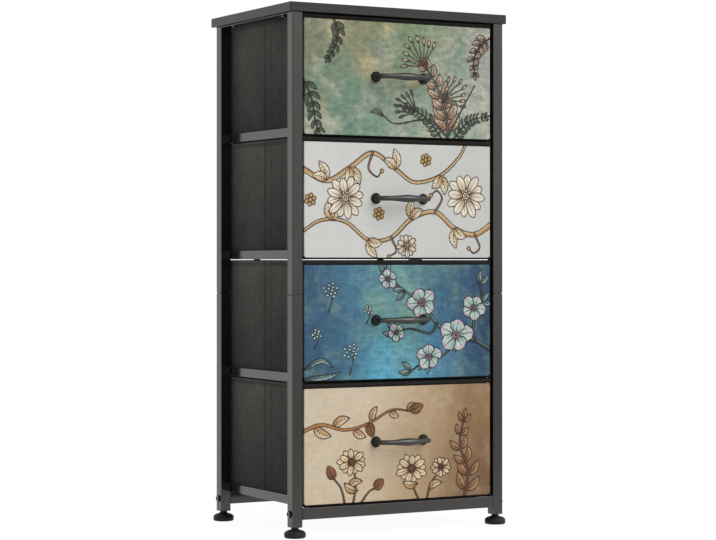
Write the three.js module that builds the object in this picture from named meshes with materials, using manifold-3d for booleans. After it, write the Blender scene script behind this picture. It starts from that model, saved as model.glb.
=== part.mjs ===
// Fabric drawer dresser: a steel tube frame on levelling feet, a board on top, and four fabric drawers
// that slide on L-shaped side rails.
// Millimetres, +Z up, +X to the right and -Y to the front. The origin is on the floor, under the middle
// of the box round the whole dresser.

import * as THREE from 'three';
import { mergeVertices } from 'three/addons/utils/BufferGeometryUtils.js';
import Module from 'manifold-3d';

const wasm = await Module();
wasm.setup();

// Clearances
const fitGap = 0.3; // between pieces that touch, or that pass through one another
const cutOverrun = 1; // how far a cut runs past the faces that it opens

// Frame
const frameWidth = 410;
const frameDepth = 290;
const boardSideOverhang = 5.5; // past the outer faces of the posts
const boardFrontOverhang = 3.5;
const boardRearOverhang = 10.5;
const boardThickness = 15.5;
const boardCornerRadius = 1.5;

// Posts
const postSide = 19;
const postWall = 1.2;
const postCornerRadius = 1.6;
const postGround = 17.5; // lower ends of the posts, above the floor
const lowerPostLength = 382.5;
const neckLength = 30; // what plugs into the upper post
const neckRoot = 4; // where the neck is joined to the lower post
const endPlateThickness = 4;

// Side rails
const levelCount = 4;
const lowestRailHeight = 50.5;
const railHeight = 15.2;
const railFlange = 20;
const railThickness = 1.5;
const railFrontInset = 7; // from the front faces of the posts

// Top straps
const strapThickness = 2;
const strapScrewInset = 32; // from the posts

// Rear cross bars
const rearBarHeight = 16;
const rearBarThickness = 2;
const rearBarInset = 0.5; // from the rear faces of the posts
const stopTabWidth = 13;
const stopTabDrop = 12;
const stopTabSpacing = 252;

// Bottom cross bars
const bottomBarHeight = 19;
const bottomBarClearance = 1.6; // under the lowest rails
const plugLength = 14;

// Levelling feet
const footRadius = 18;
const footHeight = 14.6;
const footCollarRadius = 6.2;
const studRadius = 4;
const studLength = 14; // inside the post

// Frame bolts
const boltRadius = 3;
const boltHeadRadius = 5.75;
const boltHeadHeight = 3.3;
const boltReach = 11; // inside the bottom cross bar
const boltSocketAcross = 4;
const boltSocketDepth = 1.6;

// Strap screws
const screwRadius = 2;
const screwHeadRadius = 4;
const screwHeadHeight = 2;
const strapScrewReach = 10; // inside the board
const screwSlotLength = 4.4;
const screwSlotWidth = 0.9;
const screwSlotDepth = 0.9;

// Drawers
const drawerHeight = 200.8; // from the seat on the rails to the cloth rim
const drawerHeadroom = 1.4; // from the cloth rim to the rails above
const topHeadroom = 0.9; // from the top drawer's rim to the board
const drawerSideClearance = 2.6; // from the rails to the cloth
const drawerStopGap = 1; // from the cloth to the rear cross bars
const clothThickness = 3;
const bottomBoardThickness = 3;
const bottomBoardClearance = 1.2; // to the walls of the box
const frontBoardThickness = 9;
const frontBoardRecess = 3.5; // behind the front faces of the posts
const frontBoardTopRadius = 1.5;
const frontBoardBottomRadius = 5;
const frontBoardRise = 0.8; // above the bottom of the box
const rimHeight = 8.5; // cloth that shows above the front board

// Handles
const handleSpacing = 92;
const handleHeight = 100.2; // centre line, above the bottom of the box
const bowReach = 30; // centre line of the bow at its middle, from the front board
const bowEndRadius = 4.2;
const bowMiddleRadius = 6.4;
const bowSwellLength = 66;
const rosetteRadius = 9.4;
const rosetteThickness = 3;
const handleBoreDepth = 12;
const handleScrewReach = 10.5; // past the face of the front board

// Fineness of the round forms
const cornerSegments = 3;
const holeSegments = 8;
const turnedSegments = 12;
const footSegments = 20;
const bowSides = 8;
const bowRings = 20;

// Heights worked out from the sizes above
const seatRise = railThickness + fitGap; // bottom of a drawer above the bottom of its rails
const levelPitch = seatRise + drawerHeight + drawerHeadroom;
const topRailHeight = lowestRailHeight + (levelCount - 1) * levelPitch;
const boardBottom = topRailHeight + seatRise + drawerHeight + topHeadroom;
const postTop = boardBottom - fitGap;
const seamHeight = postGround + lowerPostLength;
const bottomBarBottom = lowestRailHeight - bottomBarClearance - bottomBarHeight;
const boltHeight = bottomBarBottom + bottomBarHeight / 2;

// Places across and from front to rear
const postX = (frameWidth - postSide) / 2;
const postY = (frameDepth - postSide) / 2;
const railX = frameWidth / 2 - postSide - fitGap; // outer faces of the rails
const barLength = 2 * railX;
const drawerWidth = 2 * (railX - railThickness - drawerSideClearance);
const rearBarFront = frameDepth / 2 - rearBarInset - rearBarThickness;
const railFront = -frameDepth / 2 + railFrontInset;
const railRear = rearBarFront - fitGap;
const frontBoardFace = -frameDepth / 2 + frontBoardRecess;
const boxFront = frontBoardFace + frontBoardThickness + fitGap;
const boxRear = rearBarFront - drawerStopGap;
const boxDepth = boxRear - boxFront;
const frontBoardHeight = drawerHeight - frontBoardRise - rimHeight;
const boardWidth = frameWidth + 2 * boardSideOverhang;
const boardDepth = boardFrontOverhang + frameDepth + boardRearOverhang;
const boardMiddle = (boardRearOverhang - boardFrontOverhang) / 2;

// The box round the dresser reaches from the handles to the feet or the board, and is centred on Y = 0
const frontReach = bowReach + bowMiddleRadius + fitGap - frontBoardFace;
const rearReach = Math.max(boardMiddle + boardDepth / 2, postY + footRadius);
const centreShift = (frontReach - rearReach) / 2;

const sides = [{ name: 'left', sign: -1 }, { name: 'right', sign: 1 }];
const ends = [{ name: 'front', sign: -1 }, { name: 'rear', sign: 1 }];

const materials = {
  frame: new THREE.MeshStandardMaterial({ color: 0x4b4a46, roughness: 0.5, metalness: 0.6 }),
  board: new THREE.MeshStandardMaterial({ color: 0x4a4845, roughness: 0.6, metalness: 0 }),
  foot: new THREE.MeshStandardMaterial({ color: 0x1a1a1a, roughness: 0.6, metalness: 0 }),
  fastener: new THREE.MeshStandardMaterial({ color: 0x202122, roughness: 0.35, metalness: 0.9 }),
  cloth: new THREE.MeshStandardMaterial({ color: 0x2c2b2a, roughness: 0.95, metalness: 0 }),
  bottomBoard: new THREE.MeshStandardMaterial({ color: 0x232323, roughness: 0.9, metalness: 0 }),
  handle: new THREE.MeshStandardMaterial({ color: 0x3c3e3f, roughness: 0.4, metalness: 0.9 }),
  fronts: [0x8a9a88, 0xc9c8c4, 0x557f93, 0xc0a585].map(
    (color) => new THREE.MeshStandardMaterial({ color, roughness: 0.7, metalness: 0 }),
  ),
};

const dresser = new THREE.Group();
dresser.position.y = centreShift;

function addPiece(parent, name, geometry, material, x = 0, y = 0, z = 0, turn = 0) {
  const piece = new THREE.Mesh(geometry, material);
  piece.name = name;
  piece.position.set(x, y, z);
  piece.rotation.z = turn;
  parent.add(piece);
}

// A closed three.js geometry as a solid that can be joined and cut
function toSolid(geometry) {
  const bare = geometry.clone();
  bare.deleteAttribute('normal');
  bare.deleteAttribute('uv');
  const merged = mergeVertices(bare);
  const vertProperties = new Float32Array(merged.attributes.position.array);
  const triVerts = new Uint32Array(merged.index.array);
  return new wasm.Manifold(new wasm.Mesh({ numProp: 3, vertProperties, triVerts }));
}

function toGeometry(solid) {
  const mesh = solid.getMesh();
  const geometry = new THREE.BufferGeometry();
  geometry.setAttribute('position', new THREE.BufferAttribute(mesh.vertProperties, 3));
  geometry.setIndex(new THREE.BufferAttribute(mesh.triVerts, 1));
  geometry.computeVertexNormals();
  return geometry;
}

function join(...geometries) {
  return toGeometry(geometries.map(toSolid).reduce((sum, solid) => sum.add(solid)));
}

function cut(geometry, ...cutters) {
  return toGeometry(cutters.map(toSolid).reduce((rest, cutter) => rest.subtract(cutter), toSolid(geometry)));
}

// A block between its lowest and its highest corner
function block(low, high) {
  const size = high.map((value, axis) => value - low[axis]);
  const middle = high.map((value, axis) => (value + low[axis]) / 2);
  return new THREE.BoxGeometry(...size).translate(...middle);
}

// A rectangle with round corners, centred on the origin, with its own radius for the two lower ones
function roundedRectangle(width, height, radius, lowerRadius = radius) {
  const right = width / 2;
  const top = height / 2;
  const outline = new THREE.Shape();
  outline.absarc(right - radius, top - radius, radius, 0, Math.PI / 2);
  outline.absarc(radius - right, top - radius, radius, Math.PI / 2, Math.PI);
  outline.absarc(lowerRadius - right, lowerRadius - top, lowerRadius, Math.PI, 1.5 * Math.PI);
  outline.absarc(right - lowerRadius, lowerRadius - top, lowerRadius, 1.5 * Math.PI, 2 * Math.PI);
  outline.closePath();
  return outline;
}

function extrude(shape, depth, curveSegments = cornerSegments) {
  return new THREE.ExtrudeGeometry(shape, { depth, curveSegments, bevelEnabled: false });
}

// A rectangle with square corners, centred on the origin
function rectangle(width, height, Outline = THREE.Shape) {
  const corners = [[-1, -1], [1, -1], [1, 1], [-1, 1]];
  return new Outline(corners.map(([x, y]) => new THREE.Vector2((x * width) / 2, (y * height) / 2)));
}

// An outline with a bore that leaves a wall all round
function bored(outline, width, height, wall) {
  outline.holes.push(rectangle(width - 2 * wall, height - 2 * wall, THREE.Path));
  return outline;
}

// The section of a tube whose outer corners are round
function tubeShape(width, height, radius, wall) {
  return bored(roundedRectangle(width, height, radius), width, height, wall);
}

// A turned form from its outline of radius and height pairs, standing on the XY plane
function turned(outline, segments = turnedSegments) {
  const points = outline.map(([radius, height]) => new THREE.Vector2(radius, height));
  return new THREE.LatheGeometry(points, segments).rotateX(Math.PI / 2);
}

// A bore along Z, from one height to another. Its flat sides touch a circle of the given radius.
function bore(radius, from, to, segments = holeSegments) {
  const cornerRadius = radius / Math.cos(Math.PI / segments);
  const cylinder = new THREE.CylinderGeometry(cornerRadius, cornerRadius, to - from, segments);
  return cylinder.rotateX(Math.PI / 2).translate(0, 0, (from + to) / 2);
}

// The radius of the bore that leaves a screw, bolt or stud its clearance
const holeRadius = (radius) => radius + fitGap;

// Top board, with blind holes for the strap screws
const strapScrewPlaces = sides.flatMap((side) => ends.map((end) => ({
  name: `${side.name}_${end.name}`,
  x: side.sign * postX,
  y: end.sign * (postY - postSide / 2 - strapScrewInset),
})));
const boardBlank = extrude(roundedRectangle(boardWidth, boardDepth, boardCornerRadius), boardThickness);
const boardHoles = strapScrewPlaces.map(({ x, y }) => (
  bore(holeRadius(screwRadius), -cutOverrun, strapScrewReach + fitGap).translate(x, y - boardMiddle, 0)
));
addPiece(dresser, 'top_board', cut(boardBlank, ...boardHoles), materials.board, 0, boardMiddle, boardBottom);

// Posts: the lower one has an end plate for the foot, bolt holes and a neck for the upper one
const postShape = tubeShape(postSide, postSide, postCornerRadius, postWall);
const neckSide = postSide - 2 * postWall - 2 * fitGap;
const upperPostLength = postTop - seamHeight - fitGap;
const upperPost = extrude(postShape, upperPostLength);

const neckBottom = lowerPostLength - neckRoot;
const neckShape = bored(rectangle(neckSide, neckSide), neckSide, neckSide, postWall);
const rootSide = postSide - postWall;
const rootShape = bored(rectangle(rootSide, rootSide), rootSide, rootSide, 2 * postWall);
const plateShape = rectangle(rootSide, rootSide);
const boltBore = bore(holeRadius(boltRadius), -postSide, postSide).rotateY(Math.PI / 2)
  .translate(0, 0, boltHeight - postGround);
const lowerPost = cut(
  join(
    extrude(postShape, lowerPostLength),
    extrude(plateShape, endPlateThickness),
    extrude(rootShape, neckRoot).translate(0, 0, neckBottom),
    extrude(neckShape, neckRoot + neckLength).translate(0, 0, neckBottom),
  ),
  bore(holeRadius(studRadius), -cutOverrun, endPlateThickness + cutOverrun),
  boltBore,
);

for (const side of sides) {
  for (const end of ends) {
    const place = `${end.name}_${side.name}`;
    const x = side.sign * postX;
    const y = end.sign * postY;
    addPiece(dresser, `${place}_lower_post`, lowerPost, materials.frame, x, y, postGround);
    addPiece(dresser, `${place}_upper_post`, upperPost, materials.frame, x, y, seamHeight + fitGap);
  }
}

// Side rails: an L section whose foot points inwards and carries the drawers
const railSection = new THREE.Shape([
  new THREE.Vector2(0, 0),
  new THREE.Vector2(railFlange, 0),
  new THREE.Vector2(railFlange, railThickness),
  new THREE.Vector2(railThickness, railThickness),
  new THREE.Vector2(railThickness, railHeight),
  new THREE.Vector2(0, railHeight),
]);
const railLength = railRear - railFront;
const rail = extrude(railSection, railLength).rotateX(Math.PI / 2).translate(0, railLength / 2, 0);
const railMiddle = (railFront + railRear) / 2;
const levels = Array.from({ length: levelCount }, (_, index) => ({
  number: index + 1,
  railBottom: topRailHeight - index * levelPitch,
}));
for (const { number, railBottom } of levels) {
  for (const side of sides) {
    const turn = side.sign > 0 ? Math.PI : 0;
    addPiece(dresser, `${side.name}_rail_${number}`, rail, materials.frame,
      side.sign * railX, railMiddle, railBottom, turn);
  }
}

// Top straps between the posts, and the screws that hold the board on them
const strapLength = 2 * (postY - postSide / 2 - fitGap);
const strapBlank = block(
  [-postSide / 2, -strapLength / 2, 0],
  [postSide / 2, strapLength / 2, strapThickness],
);
const strapHoles = strapScrewPlaces.filter(({ x }) => x > 0).map(({ y }) => (
  bore(holeRadius(screwRadius), -cutOverrun, strapThickness + cutOverrun).translate(0, y, 0)
));
const strap = cut(strapBlank, ...strapHoles);
const strapBottom = postTop - strapThickness;
for (const side of sides) {
  addPiece(dresser, `${side.name}_top_strap`, strap, materials.frame, side.sign * postX, 0, strapBottom);
}

// A pan-head screw that points up, with its head below Z = 0 and a cross recess in the head
const panHeadShares = [[0, 1], [0.65, 1], [1, 0.5], [1, 0]];
function panScrew(reach) {
  const head = panHeadShares.map(([radiusShare, heightShare]) => (
    [screwHeadRadius * radiusShare, -screwHeadHeight * heightShare]
  ));
  const body = turned([...head, [screwRadius, 0], [screwRadius, reach], [0, reach]]);
  const slotLow = -screwHeadHeight - cutOverrun;
  const slotHigh = screwSlotDepth - screwHeadHeight;
  const long = screwSlotLength / 2;
  const short = screwSlotWidth / 2;
  return cut(
    body,
    block([-long, -short, slotLow], [long, short, slotHigh]),
    block([-short, -long, slotLow], [short, long, slotHigh]),
  );
}

const strapScrewTop = boardBottom + strapScrewReach;
const strapScrewSeat = strapBottom - fitGap;
const strapScrew = panScrew(strapScrewTop - strapScrewSeat);
for (const { name, x, y } of strapScrewPlaces) {
  addPiece(dresser, `${name}_strap_screw`, strapScrew, materials.fastener, x, y, strapScrewSeat);
}

// Rear cross bars: a flat strip with two tabs along its lower edge, which stop the drawer below
const tabOutline = sides.flatMap((side) => {
  const middle = (side.sign * stopTabSpacing) / 2;
  const left = middle - stopTabWidth / 2;
  const right = middle + stopTabWidth / 2;
  return [[left, 0], [left, -stopTabDrop], [right, -stopTabDrop], [right, 0]];
});
const rearBarOutline = [
  [-barLength / 2, 0],
  ...tabOutline,
  [barLength / 2, 0],
  [barLength / 2, rearBarHeight],
  [-barLength / 2, rearBarHeight],
];
const rearBarShape = new THREE.Shape(rearBarOutline.map(([x, z]) => new THREE.Vector2(x, z)));
const rearBar = extrude(rearBarShape, rearBarThickness)
  .rotateX(Math.PI / 2)
  .translate(0, rearBarThickness, 0);
for (const { number, railBottom } of levels.slice(0, -1)) {
  addPiece(dresser, `rear_bar_${number}`, rearBar, materials.frame, 0, rearBarFront, railBottom);
}

// Bottom cross bars: a square tube with a bored plug in each end for the bolts
const plugSide = bottomBarHeight - postWall;
const barTube = extrude(tubeShape(bottomBarHeight, postSide, postCornerRadius, postWall), barLength);
const barPlugShape = rectangle(plugSide, postSide - postWall);
const barPlugs = [0, barLength - plugLength].map((from) => (
  extrude(barPlugShape, plugLength).translate(0, 0, from)
));
const bottomBar = cut(
  join(barTube, ...barPlugs),
  bore(holeRadius(boltRadius), -cutOverrun, barLength + cutOverrun),
).rotateY(Math.PI / 2).translate(-barLength / 2, 0, bottomBarHeight / 2);
for (const end of ends) {
  addPiece(dresser, `${end.name}_bottom_bar`, bottomBar, materials.frame,
    0, end.sign * postY, bottomBarBottom);
}

// Frame bolts: a button head with a hexagon socket, on the outer face of each post
const buttonShares = [[0, 1], [0.5, 0.95], [0.85, 0.6], [1, 0]];
const buttonHead = buttonShares.map(([radiusShare, heightShare]) => (
  [boltHeadRadius * radiusShare, -boltHeadHeight * heightShare]
));
const boltLength = fitGap + postSide + fitGap + boltReach;
const boltBody = turned([...buttonHead, [boltRadius, 0], [boltRadius, boltLength], [0, boltLength]]);
const boltSocket = bore(
  boltSocketAcross / 2,
  -boltHeadHeight - cutOverrun,
  boltSocketDepth - boltHeadHeight,
  6,
);
const bolt = cut(boltBody, boltSocket).rotateY(Math.PI / 2);
for (const side of sides) {
  for (const end of ends) {
    const turn = side.sign > 0 ? Math.PI : 0;
    addPiece(dresser, `${end.name}_${side.name}_bolt`, bolt, materials.fastener,
      side.sign * (frameWidth / 2 + fitGap), end.sign * postY, boltHeight, turn);
  }
}

// Levelling feet: a domed disc with a collar under the post and a stud inside it
const footShares = [[0, 0], [0.82, 0], [0.94, 0.06], [1, 0.2], [1, 0.55], [0.74, 0.9]];
const studTop = postGround + endPlateThickness + studLength - fitGap;
const foot = turned([
  ...footShares.map(([radiusShare, heightShare]) => [footRadius * radiusShare, footHeight * heightShare]),
  [footCollarRadius, footHeight],
  [footCollarRadius, postGround - fitGap],
  [studRadius, postGround - fitGap],
  [studRadius, studTop],
  [0, studTop],
], footSegments);
for (const side of sides) {
  for (const end of ends) {
    addPiece(dresser, `${end.name}_${side.name}_foot`, foot, materials.foot,
      side.sign * postX, end.sign * postY, 0);
  }
}

// Fabric box of a drawer, open at the top, with holes for the handle screws. Its front rim laps forward
// over the front board.
const boxShell = block([-drawerWidth / 2, 0, 0], [drawerWidth / 2, boxDepth, drawerHeight]);
const frontRim = block(
  [-drawerWidth / 2, -frontBoardThickness - fitGap, drawerHeight - rimHeight + fitGap],
  [drawerWidth / 2, clothThickness, drawerHeight],
);
const boxBlank = join(boxShell, frontRim);
const boxHollow = block(
  [-drawerWidth / 2 + clothThickness, clothThickness, clothThickness],
  [drawerWidth / 2 - clothThickness, boxDepth - clothThickness, drawerHeight + cutOverrun],
);
const handleScrewPlaces = sides.map((side) => ({ name: side.name, x: (side.sign * handleSpacing) / 2 }));
const handleScrewHoles = (from, to, height) => handleScrewPlaces.map(({ x }) => (
  bore(holeRadius(screwRadius), from, to).rotateX(-Math.PI / 2).translate(x, 0, height)
));
const boxHoles = handleScrewHoles(-cutOverrun, clothThickness + cutOverrun, handleHeight);
const fabricBox = cut(boxBlank, boxHollow, ...boxHoles);

const bottomInset = clothThickness + bottomBoardClearance;
const bottomBoard = block(
  [-drawerWidth / 2 + bottomInset, bottomInset, 0],
  [drawerWidth / 2 - bottomInset, boxDepth - bottomInset, bottomBoardThickness],
);

// Front board, standing up from its lower edge, with its rear face on Y = 0
const frontShape = roundedRectangle(
  drawerWidth,
  frontBoardHeight,
  frontBoardTopRadius,
  frontBoardBottomRadius,
);
const frontBlank = extrude(frontShape, frontBoardThickness)
  .rotateX(Math.PI / 2)
  .translate(0, 0, frontBoardHeight / 2);
const frontHoles = handleScrewHoles(
  -frontBoardThickness - cutOverrun,
  cutOverrun,
  handleHeight - frontBoardRise,
);
const frontBoard = cut(frontBlank, ...frontHoles);

// The bow of a handle: a round bar whose centre line rises from one rosette, passes in front of the
// drawer and returns to the other. Its radius swells in the middle by a cosine.
const halfBowShares = [
  [1, 0.02], [1, 0.35], [1, 0.58], [0.965, 0.71], [0.84, 0.81], [0.6, 0.9], [0.3, 0.97],
];
const bowPoints = [
  ...halfBowShares.map(([across, out]) => [-across, out]),
  [0, 1],
  ...halfBowShares.toReversed(),
].map(([across, out]) => new THREE.Vector3((across * handleSpacing) / 2, -out * bowReach, 0));
const bowLine = new THREE.CatmullRomCurve3(bowPoints);

function bowRadius(x) {
  const share = Math.min(Math.abs(x) / (bowSwellLength / 2), 1);
  return bowEndRadius + (bowMiddleRadius - bowEndRadius) * (0.5 + 0.5 * Math.cos(Math.PI * share));
}

// Rings of points square to the centre line, joined by triangles, with a fan over each end
function bowGeometry() {
  const positions = [];
  const indices = [];
  for (let ring = 0; ring <= bowRings; ring += 1) {
    const centre = bowLine.getPointAt(ring / bowRings);
    const along = bowLine.getTangentAt(ring / bowRings);
    const radius = bowRadius(centre.x);
    for (let step = 0; step < bowSides; step += 1) {
      const angle = (2 * Math.PI * step) / bowSides;
      const across = radius * Math.cos(angle);
      const up = radius * Math.sin(angle);
      positions.push(centre.x - along.y * across, centre.y + along.x * across, up);
    }
  }
  for (let ring = 0; ring < bowRings; ring += 1) {
    for (let step = 0; step < bowSides; step += 1) {
      const next = (step + 1) % bowSides;
      const here = ring * bowSides;
      const there = here + bowSides;
      indices.push(here + step, here + next, there + step, here + next, there + next, there + step);
    }
  }
  const last = bowRings * bowSides;
  for (let step = 1; step < bowSides - 1; step += 1) {
    indices.push(0, step + 1, step, last, last + step, last + step + 1);
  }
  const geometry = new THREE.BufferGeometry();
  geometry.setAttribute('position', new THREE.Float32BufferAttribute(positions, 3));
  geometry.setIndex(indices);
  return geometry;
}

const rosetteShares = [[0, 0], [1, 0], [1, 0.4], [0.82, 0.8], [0.5, 1], [0, 1]];
const rosetteOutline = rosetteShares.map(([radiusShare, heightShare]) => (
  [rosetteRadius * radiusShare, rosetteThickness * heightShare]
));
const rosettes = handleScrewPlaces.map(({ x }) => (
  turned(rosetteOutline, footSegments).rotateX(Math.PI / 2).translate(x, 0, 0)
));
const handleBores = handleScrewHoles(-handleBoreDepth, cutOverrun, 0);
const handle = cut(join(bowGeometry(), ...rosettes), ...handleBores);

const handleScrewSeat = boxFront + clothThickness + fitGap;
const handleScrew = panScrew(handleScrewSeat - frontBoardFace + handleScrewReach).rotateX(Math.PI / 2);

for (const { number, railBottom } of levels) {
  const drawer = new THREE.Group();
  drawer.position.z = railBottom + seatRise;
  dresser.add(drawer);
  const prefix = `drawer_${number}`;
  addPiece(drawer, `${prefix}_fabric_box`, fabricBox, materials.cloth, 0, boxFront, 0);
  addPiece(drawer, `${prefix}_bottom_board`, bottomBoard, materials.bottomBoard,
    0, boxFront, clothThickness + fitGap);
  addPiece(drawer, `${prefix}_front_board`, frontBoard,
    materials.fronts[(number - 1) % materials.fronts.length],
    0, frontBoardFace + frontBoardThickness, frontBoardRise);
  addPiece(drawer, `${prefix}_handle`, handle, materials.handle, 0, frontBoardFace - fitGap, handleHeight);
  for (const { name, x } of handleScrewPlaces) {
    addPiece(drawer, `${prefix}_${name}_handle_screw`, handleScrew, materials.fastener,
      x, handleScrewSeat, handleHeight);
  }
}

export default dresser;
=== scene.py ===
import math

import bpy
import numpy as np
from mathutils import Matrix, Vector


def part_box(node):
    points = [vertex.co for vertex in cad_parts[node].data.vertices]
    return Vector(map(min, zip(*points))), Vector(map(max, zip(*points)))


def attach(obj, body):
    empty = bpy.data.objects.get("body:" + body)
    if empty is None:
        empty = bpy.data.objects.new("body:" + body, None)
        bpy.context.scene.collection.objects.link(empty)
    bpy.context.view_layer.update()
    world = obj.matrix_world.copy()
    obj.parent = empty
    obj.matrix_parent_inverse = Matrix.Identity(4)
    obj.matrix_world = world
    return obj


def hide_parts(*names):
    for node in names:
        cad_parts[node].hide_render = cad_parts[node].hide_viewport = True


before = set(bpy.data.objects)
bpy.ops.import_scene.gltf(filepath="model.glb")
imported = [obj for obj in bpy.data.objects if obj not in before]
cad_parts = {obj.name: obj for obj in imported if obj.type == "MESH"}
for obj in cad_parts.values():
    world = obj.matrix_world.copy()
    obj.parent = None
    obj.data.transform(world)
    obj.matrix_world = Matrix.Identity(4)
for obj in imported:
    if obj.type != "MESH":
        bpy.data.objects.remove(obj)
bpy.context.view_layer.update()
print("frame loaded:", len(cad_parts), "nodes")

# Camera, level, at the height of the gap between the second and the third drawer
cameraLook = {
    "place": (-1.8402, -3.28225, 0.4596),
    "turn": 29.18,  # degrees to the right of straight ahead
    "lens": 108.73,
    "shiftY": -0.0158,
    "clipEnd": 30,
}
camera = bpy.data.objects.new("camera", bpy.data.cameras.new("camera"))
camera.location = cameraLook["place"]
camera.rotation_euler = (math.pi / 2, 0, -math.radians(cameraLook["turn"]))
camera.data.lens = cameraLook["lens"]
camera.data.shift_y = cameraLook["shiftY"]
camera.data.clip_end = cameraLook["clipEnd"]
bpy.context.scene.collection.objects.link(camera)
bpy.context.scene.camera = camera
bpy.context.scene.view_settings.view_transform = "Standard"
print("camera placed")


# Nodes

def addNode(tree, kind, inputs=None, **settings):
    # A node with its settings, and its inputs given as values or as the sockets that feed them
    made = tree.nodes.new(kind)
    for key, value in settings.items():
        setattr(made, key, value)
    for key, value in (inputs or {}).items():
        if isinstance(value, bpy.types.NodeSocket):
            tree.links.new(value, made.inputs[key])
        else:
            made.inputs[key].default_value = value
    return made


def mathNode(tree, operation, first, second=0.0):
    return addNode(tree, "ShaderNodeMath", {0: first, 1: second}, operation=operation).outputs[0]


def product(tree, first, *others):
    for other in others:
        first = mathNode(tree, "MULTIPLY", first, other)
    return first


def mixColours(tree, share, first, second, blend="MIX"):
    inputs = {0: share, 6: first, 7: second}
    return addNode(tree, "ShaderNodeMix", inputs, data_type="RGBA", blend_type=blend).outputs[2]


def mapRange(tree, value, fromLow, fromHigh, toLow, toHigh, kind="LINEAR"):
    inputs = {0: value, 1: fromLow, 2: fromHigh, 3: toLow, 4: toHigh}
    return addNode(tree, "ShaderNodeMapRange", inputs, interpolation_type=kind).outputs[0]


def noiseNode(tree, place, scale, detail, roughness=0.5, distortion=0.0):
    inputs = {"Vector": place, "Scale": scale, "Detail": detail, "Roughness": roughness,
              "Distortion": distortion}
    return addNode(tree, "ShaderNodeTexNoise", inputs).outputs[0]


def placeNode(tree, scale=None, location=(0, 0, 0)):
    # Object coordinates, stretched and moved where a scale is given
    place = addNode(tree, "ShaderNodeTexCoord").outputs["Object"]
    if scale:
        inputs = {"Vector": place, "Location": location, "Scale": scale}
        place = addNode(tree, "ShaderNodeMapping", inputs).outputs[0]
    return place


def partsNode(tree, vector):
    return addNode(tree, "ShaderNodeSeparateXYZ", {0: vector}).outputs


def attributeNode(tree, key, output="Fac"):
    return addNode(tree, "ShaderNodeAttribute", attribute_name=key).outputs[output]


def tinted(tree, colour, tone):
    # The colour times a tone that is about 1
    grey = addNode(tree, "ShaderNodeCombineColor", {0: tone, 1: tone, 2: tone}).outputs[0]
    return mixColours(tree, 1.0, (*colour, 1) if isinstance(colour, tuple) else colour, grey, "MULTIPLY")


def newGroup(name, inputs, outputs):
    # A node group whose sockets are all plain numbers
    group = bpy.data.node_groups.new(name, "ShaderNodeTree")
    for socketName, value in inputs.items():
        socket = group.interface.new_socket(name=socketName, in_out="INPUT", socket_type="NodeSocketFloat")
        socket.default_value = value
    for socketName in outputs:
        group.interface.new_socket(name=socketName, in_out="OUTPUT", socket_type="NodeSocketFloat")
    return group, group.nodes.new("NodeGroupInput").outputs, group.nodes.new("NodeGroupOutput").inputs


def placeGroup(tree, group, values):
    # The group's inputs are given in their order
    return addNode(tree, "ShaderNodeGroup", dict(enumerate(values)), node_tree=group).outputs


def makeMottle():
    # Clouded tone: the sum of a broad and a fine noise about 1, and the fine one as a height
    group, given, result = newGroup(
        "mottle",
        {"Broad Scale": 6.0, "Fine Scale": 400.0, "Broad Amount": 0.1, "Fine Amount": 0.05},
        ("Tone", "Height"),
    )
    place = placeNode(group)
    tone = 1.0
    for size, detail, roughness in (("Broad", 3.0, 0.55), ("Fine", 2.0, 0.6)):
        cloud = noiseNode(group, place, given[f"{size} Scale"], detail, roughness)
        part = product(group, mathNode(group, "SUBTRACT", cloud, 0.5), given[f"{size} Amount"])
        tone = mathNode(group, "ADD", part, tone)
    group.links.new(tone, result["Tone"])
    group.links.new(cloud, result["Height"])
    return group


def makeWeave():
    # Plain weave: threads across and up, |sin(pi x / pitch)·sin(pi z / pitch)|, with slubs drawn out
    # along both
    look = {"stretches": ((60.0, 60.0, 700.0), (700.0, 700.0, 45.0)), "slubDetail": 2.0, "slubHeight": 1.5}
    group, given, result = newGroup("weave", {"Pitch": 0.0012, "Slub Amount": 0.2}, ("Tone", "Height"))
    place = placeNode(group)
    parts = partsNode(group, place)
    threads = 1.0
    for along in (mathNode(group, "ADD", parts[0], parts[1]), parts[2]):
        turn = mathNode(group, "DIVIDE", along, given["Pitch"])
        threads = product(group, mathNode(group, "SINE", product(group, turn, math.pi)), threads)
    slub = -1.0
    for stretch in look["stretches"]:
        stretched = addNode(group, "ShaderNodeMapping", {"Vector": place, "Scale": stretch}).outputs[0]
        slub = mathNode(group, "ADD", noiseNode(group, stretched, 1.0, look["slubDetail"]), slub)
    slubHeight = product(group, slub, look["slubHeight"])
    height = mathNode(group, "ADD", mathNode(group, "ABSOLUTE", threads), slubHeight)
    tone = mathNode(group, "ADD", product(group, slub, given["Slub Amount"]), 1.0)
    group.links.new(tone, result["Tone"])
    group.links.new(height, result["Height"])
    return group


mottle, weave = makeMottle(), makeWeave()


# Materials, whose "mottle" gives a broad scale, a fine one and the amount of each

def newMaterial(name, look):
    # A material whose constants stand on the Principled node's own sockets
    material = bpy.data.materials.new(name)
    material.use_nodes = True
    principled = material.node_tree.nodes["Principled BSDF"]
    principled.inputs["Base Color"].default_value = (*look["colour"], 1)
    principled.inputs["Roughness"].default_value = look["roughness"]
    principled.inputs["Metallic"].default_value = look.get("metallic", 0.0)
    principled.inputs["Specular IOR Level"].default_value = look.get("specular", 0.5)
    material.diffuse_color = (*look["colour"], 1)
    return material, material.node_tree, principled


def joinShader(tree, principled, colour, height, distance):
    # The colour, and the height as a bump
    bump = addNode(tree, "ShaderNodeBump", {"Height": height, "Distance": distance})
    tree.links.new(colour, principled.inputs["Base Color"])
    tree.links.new(bump.outputs[0], principled.inputs["Normal"])


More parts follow.
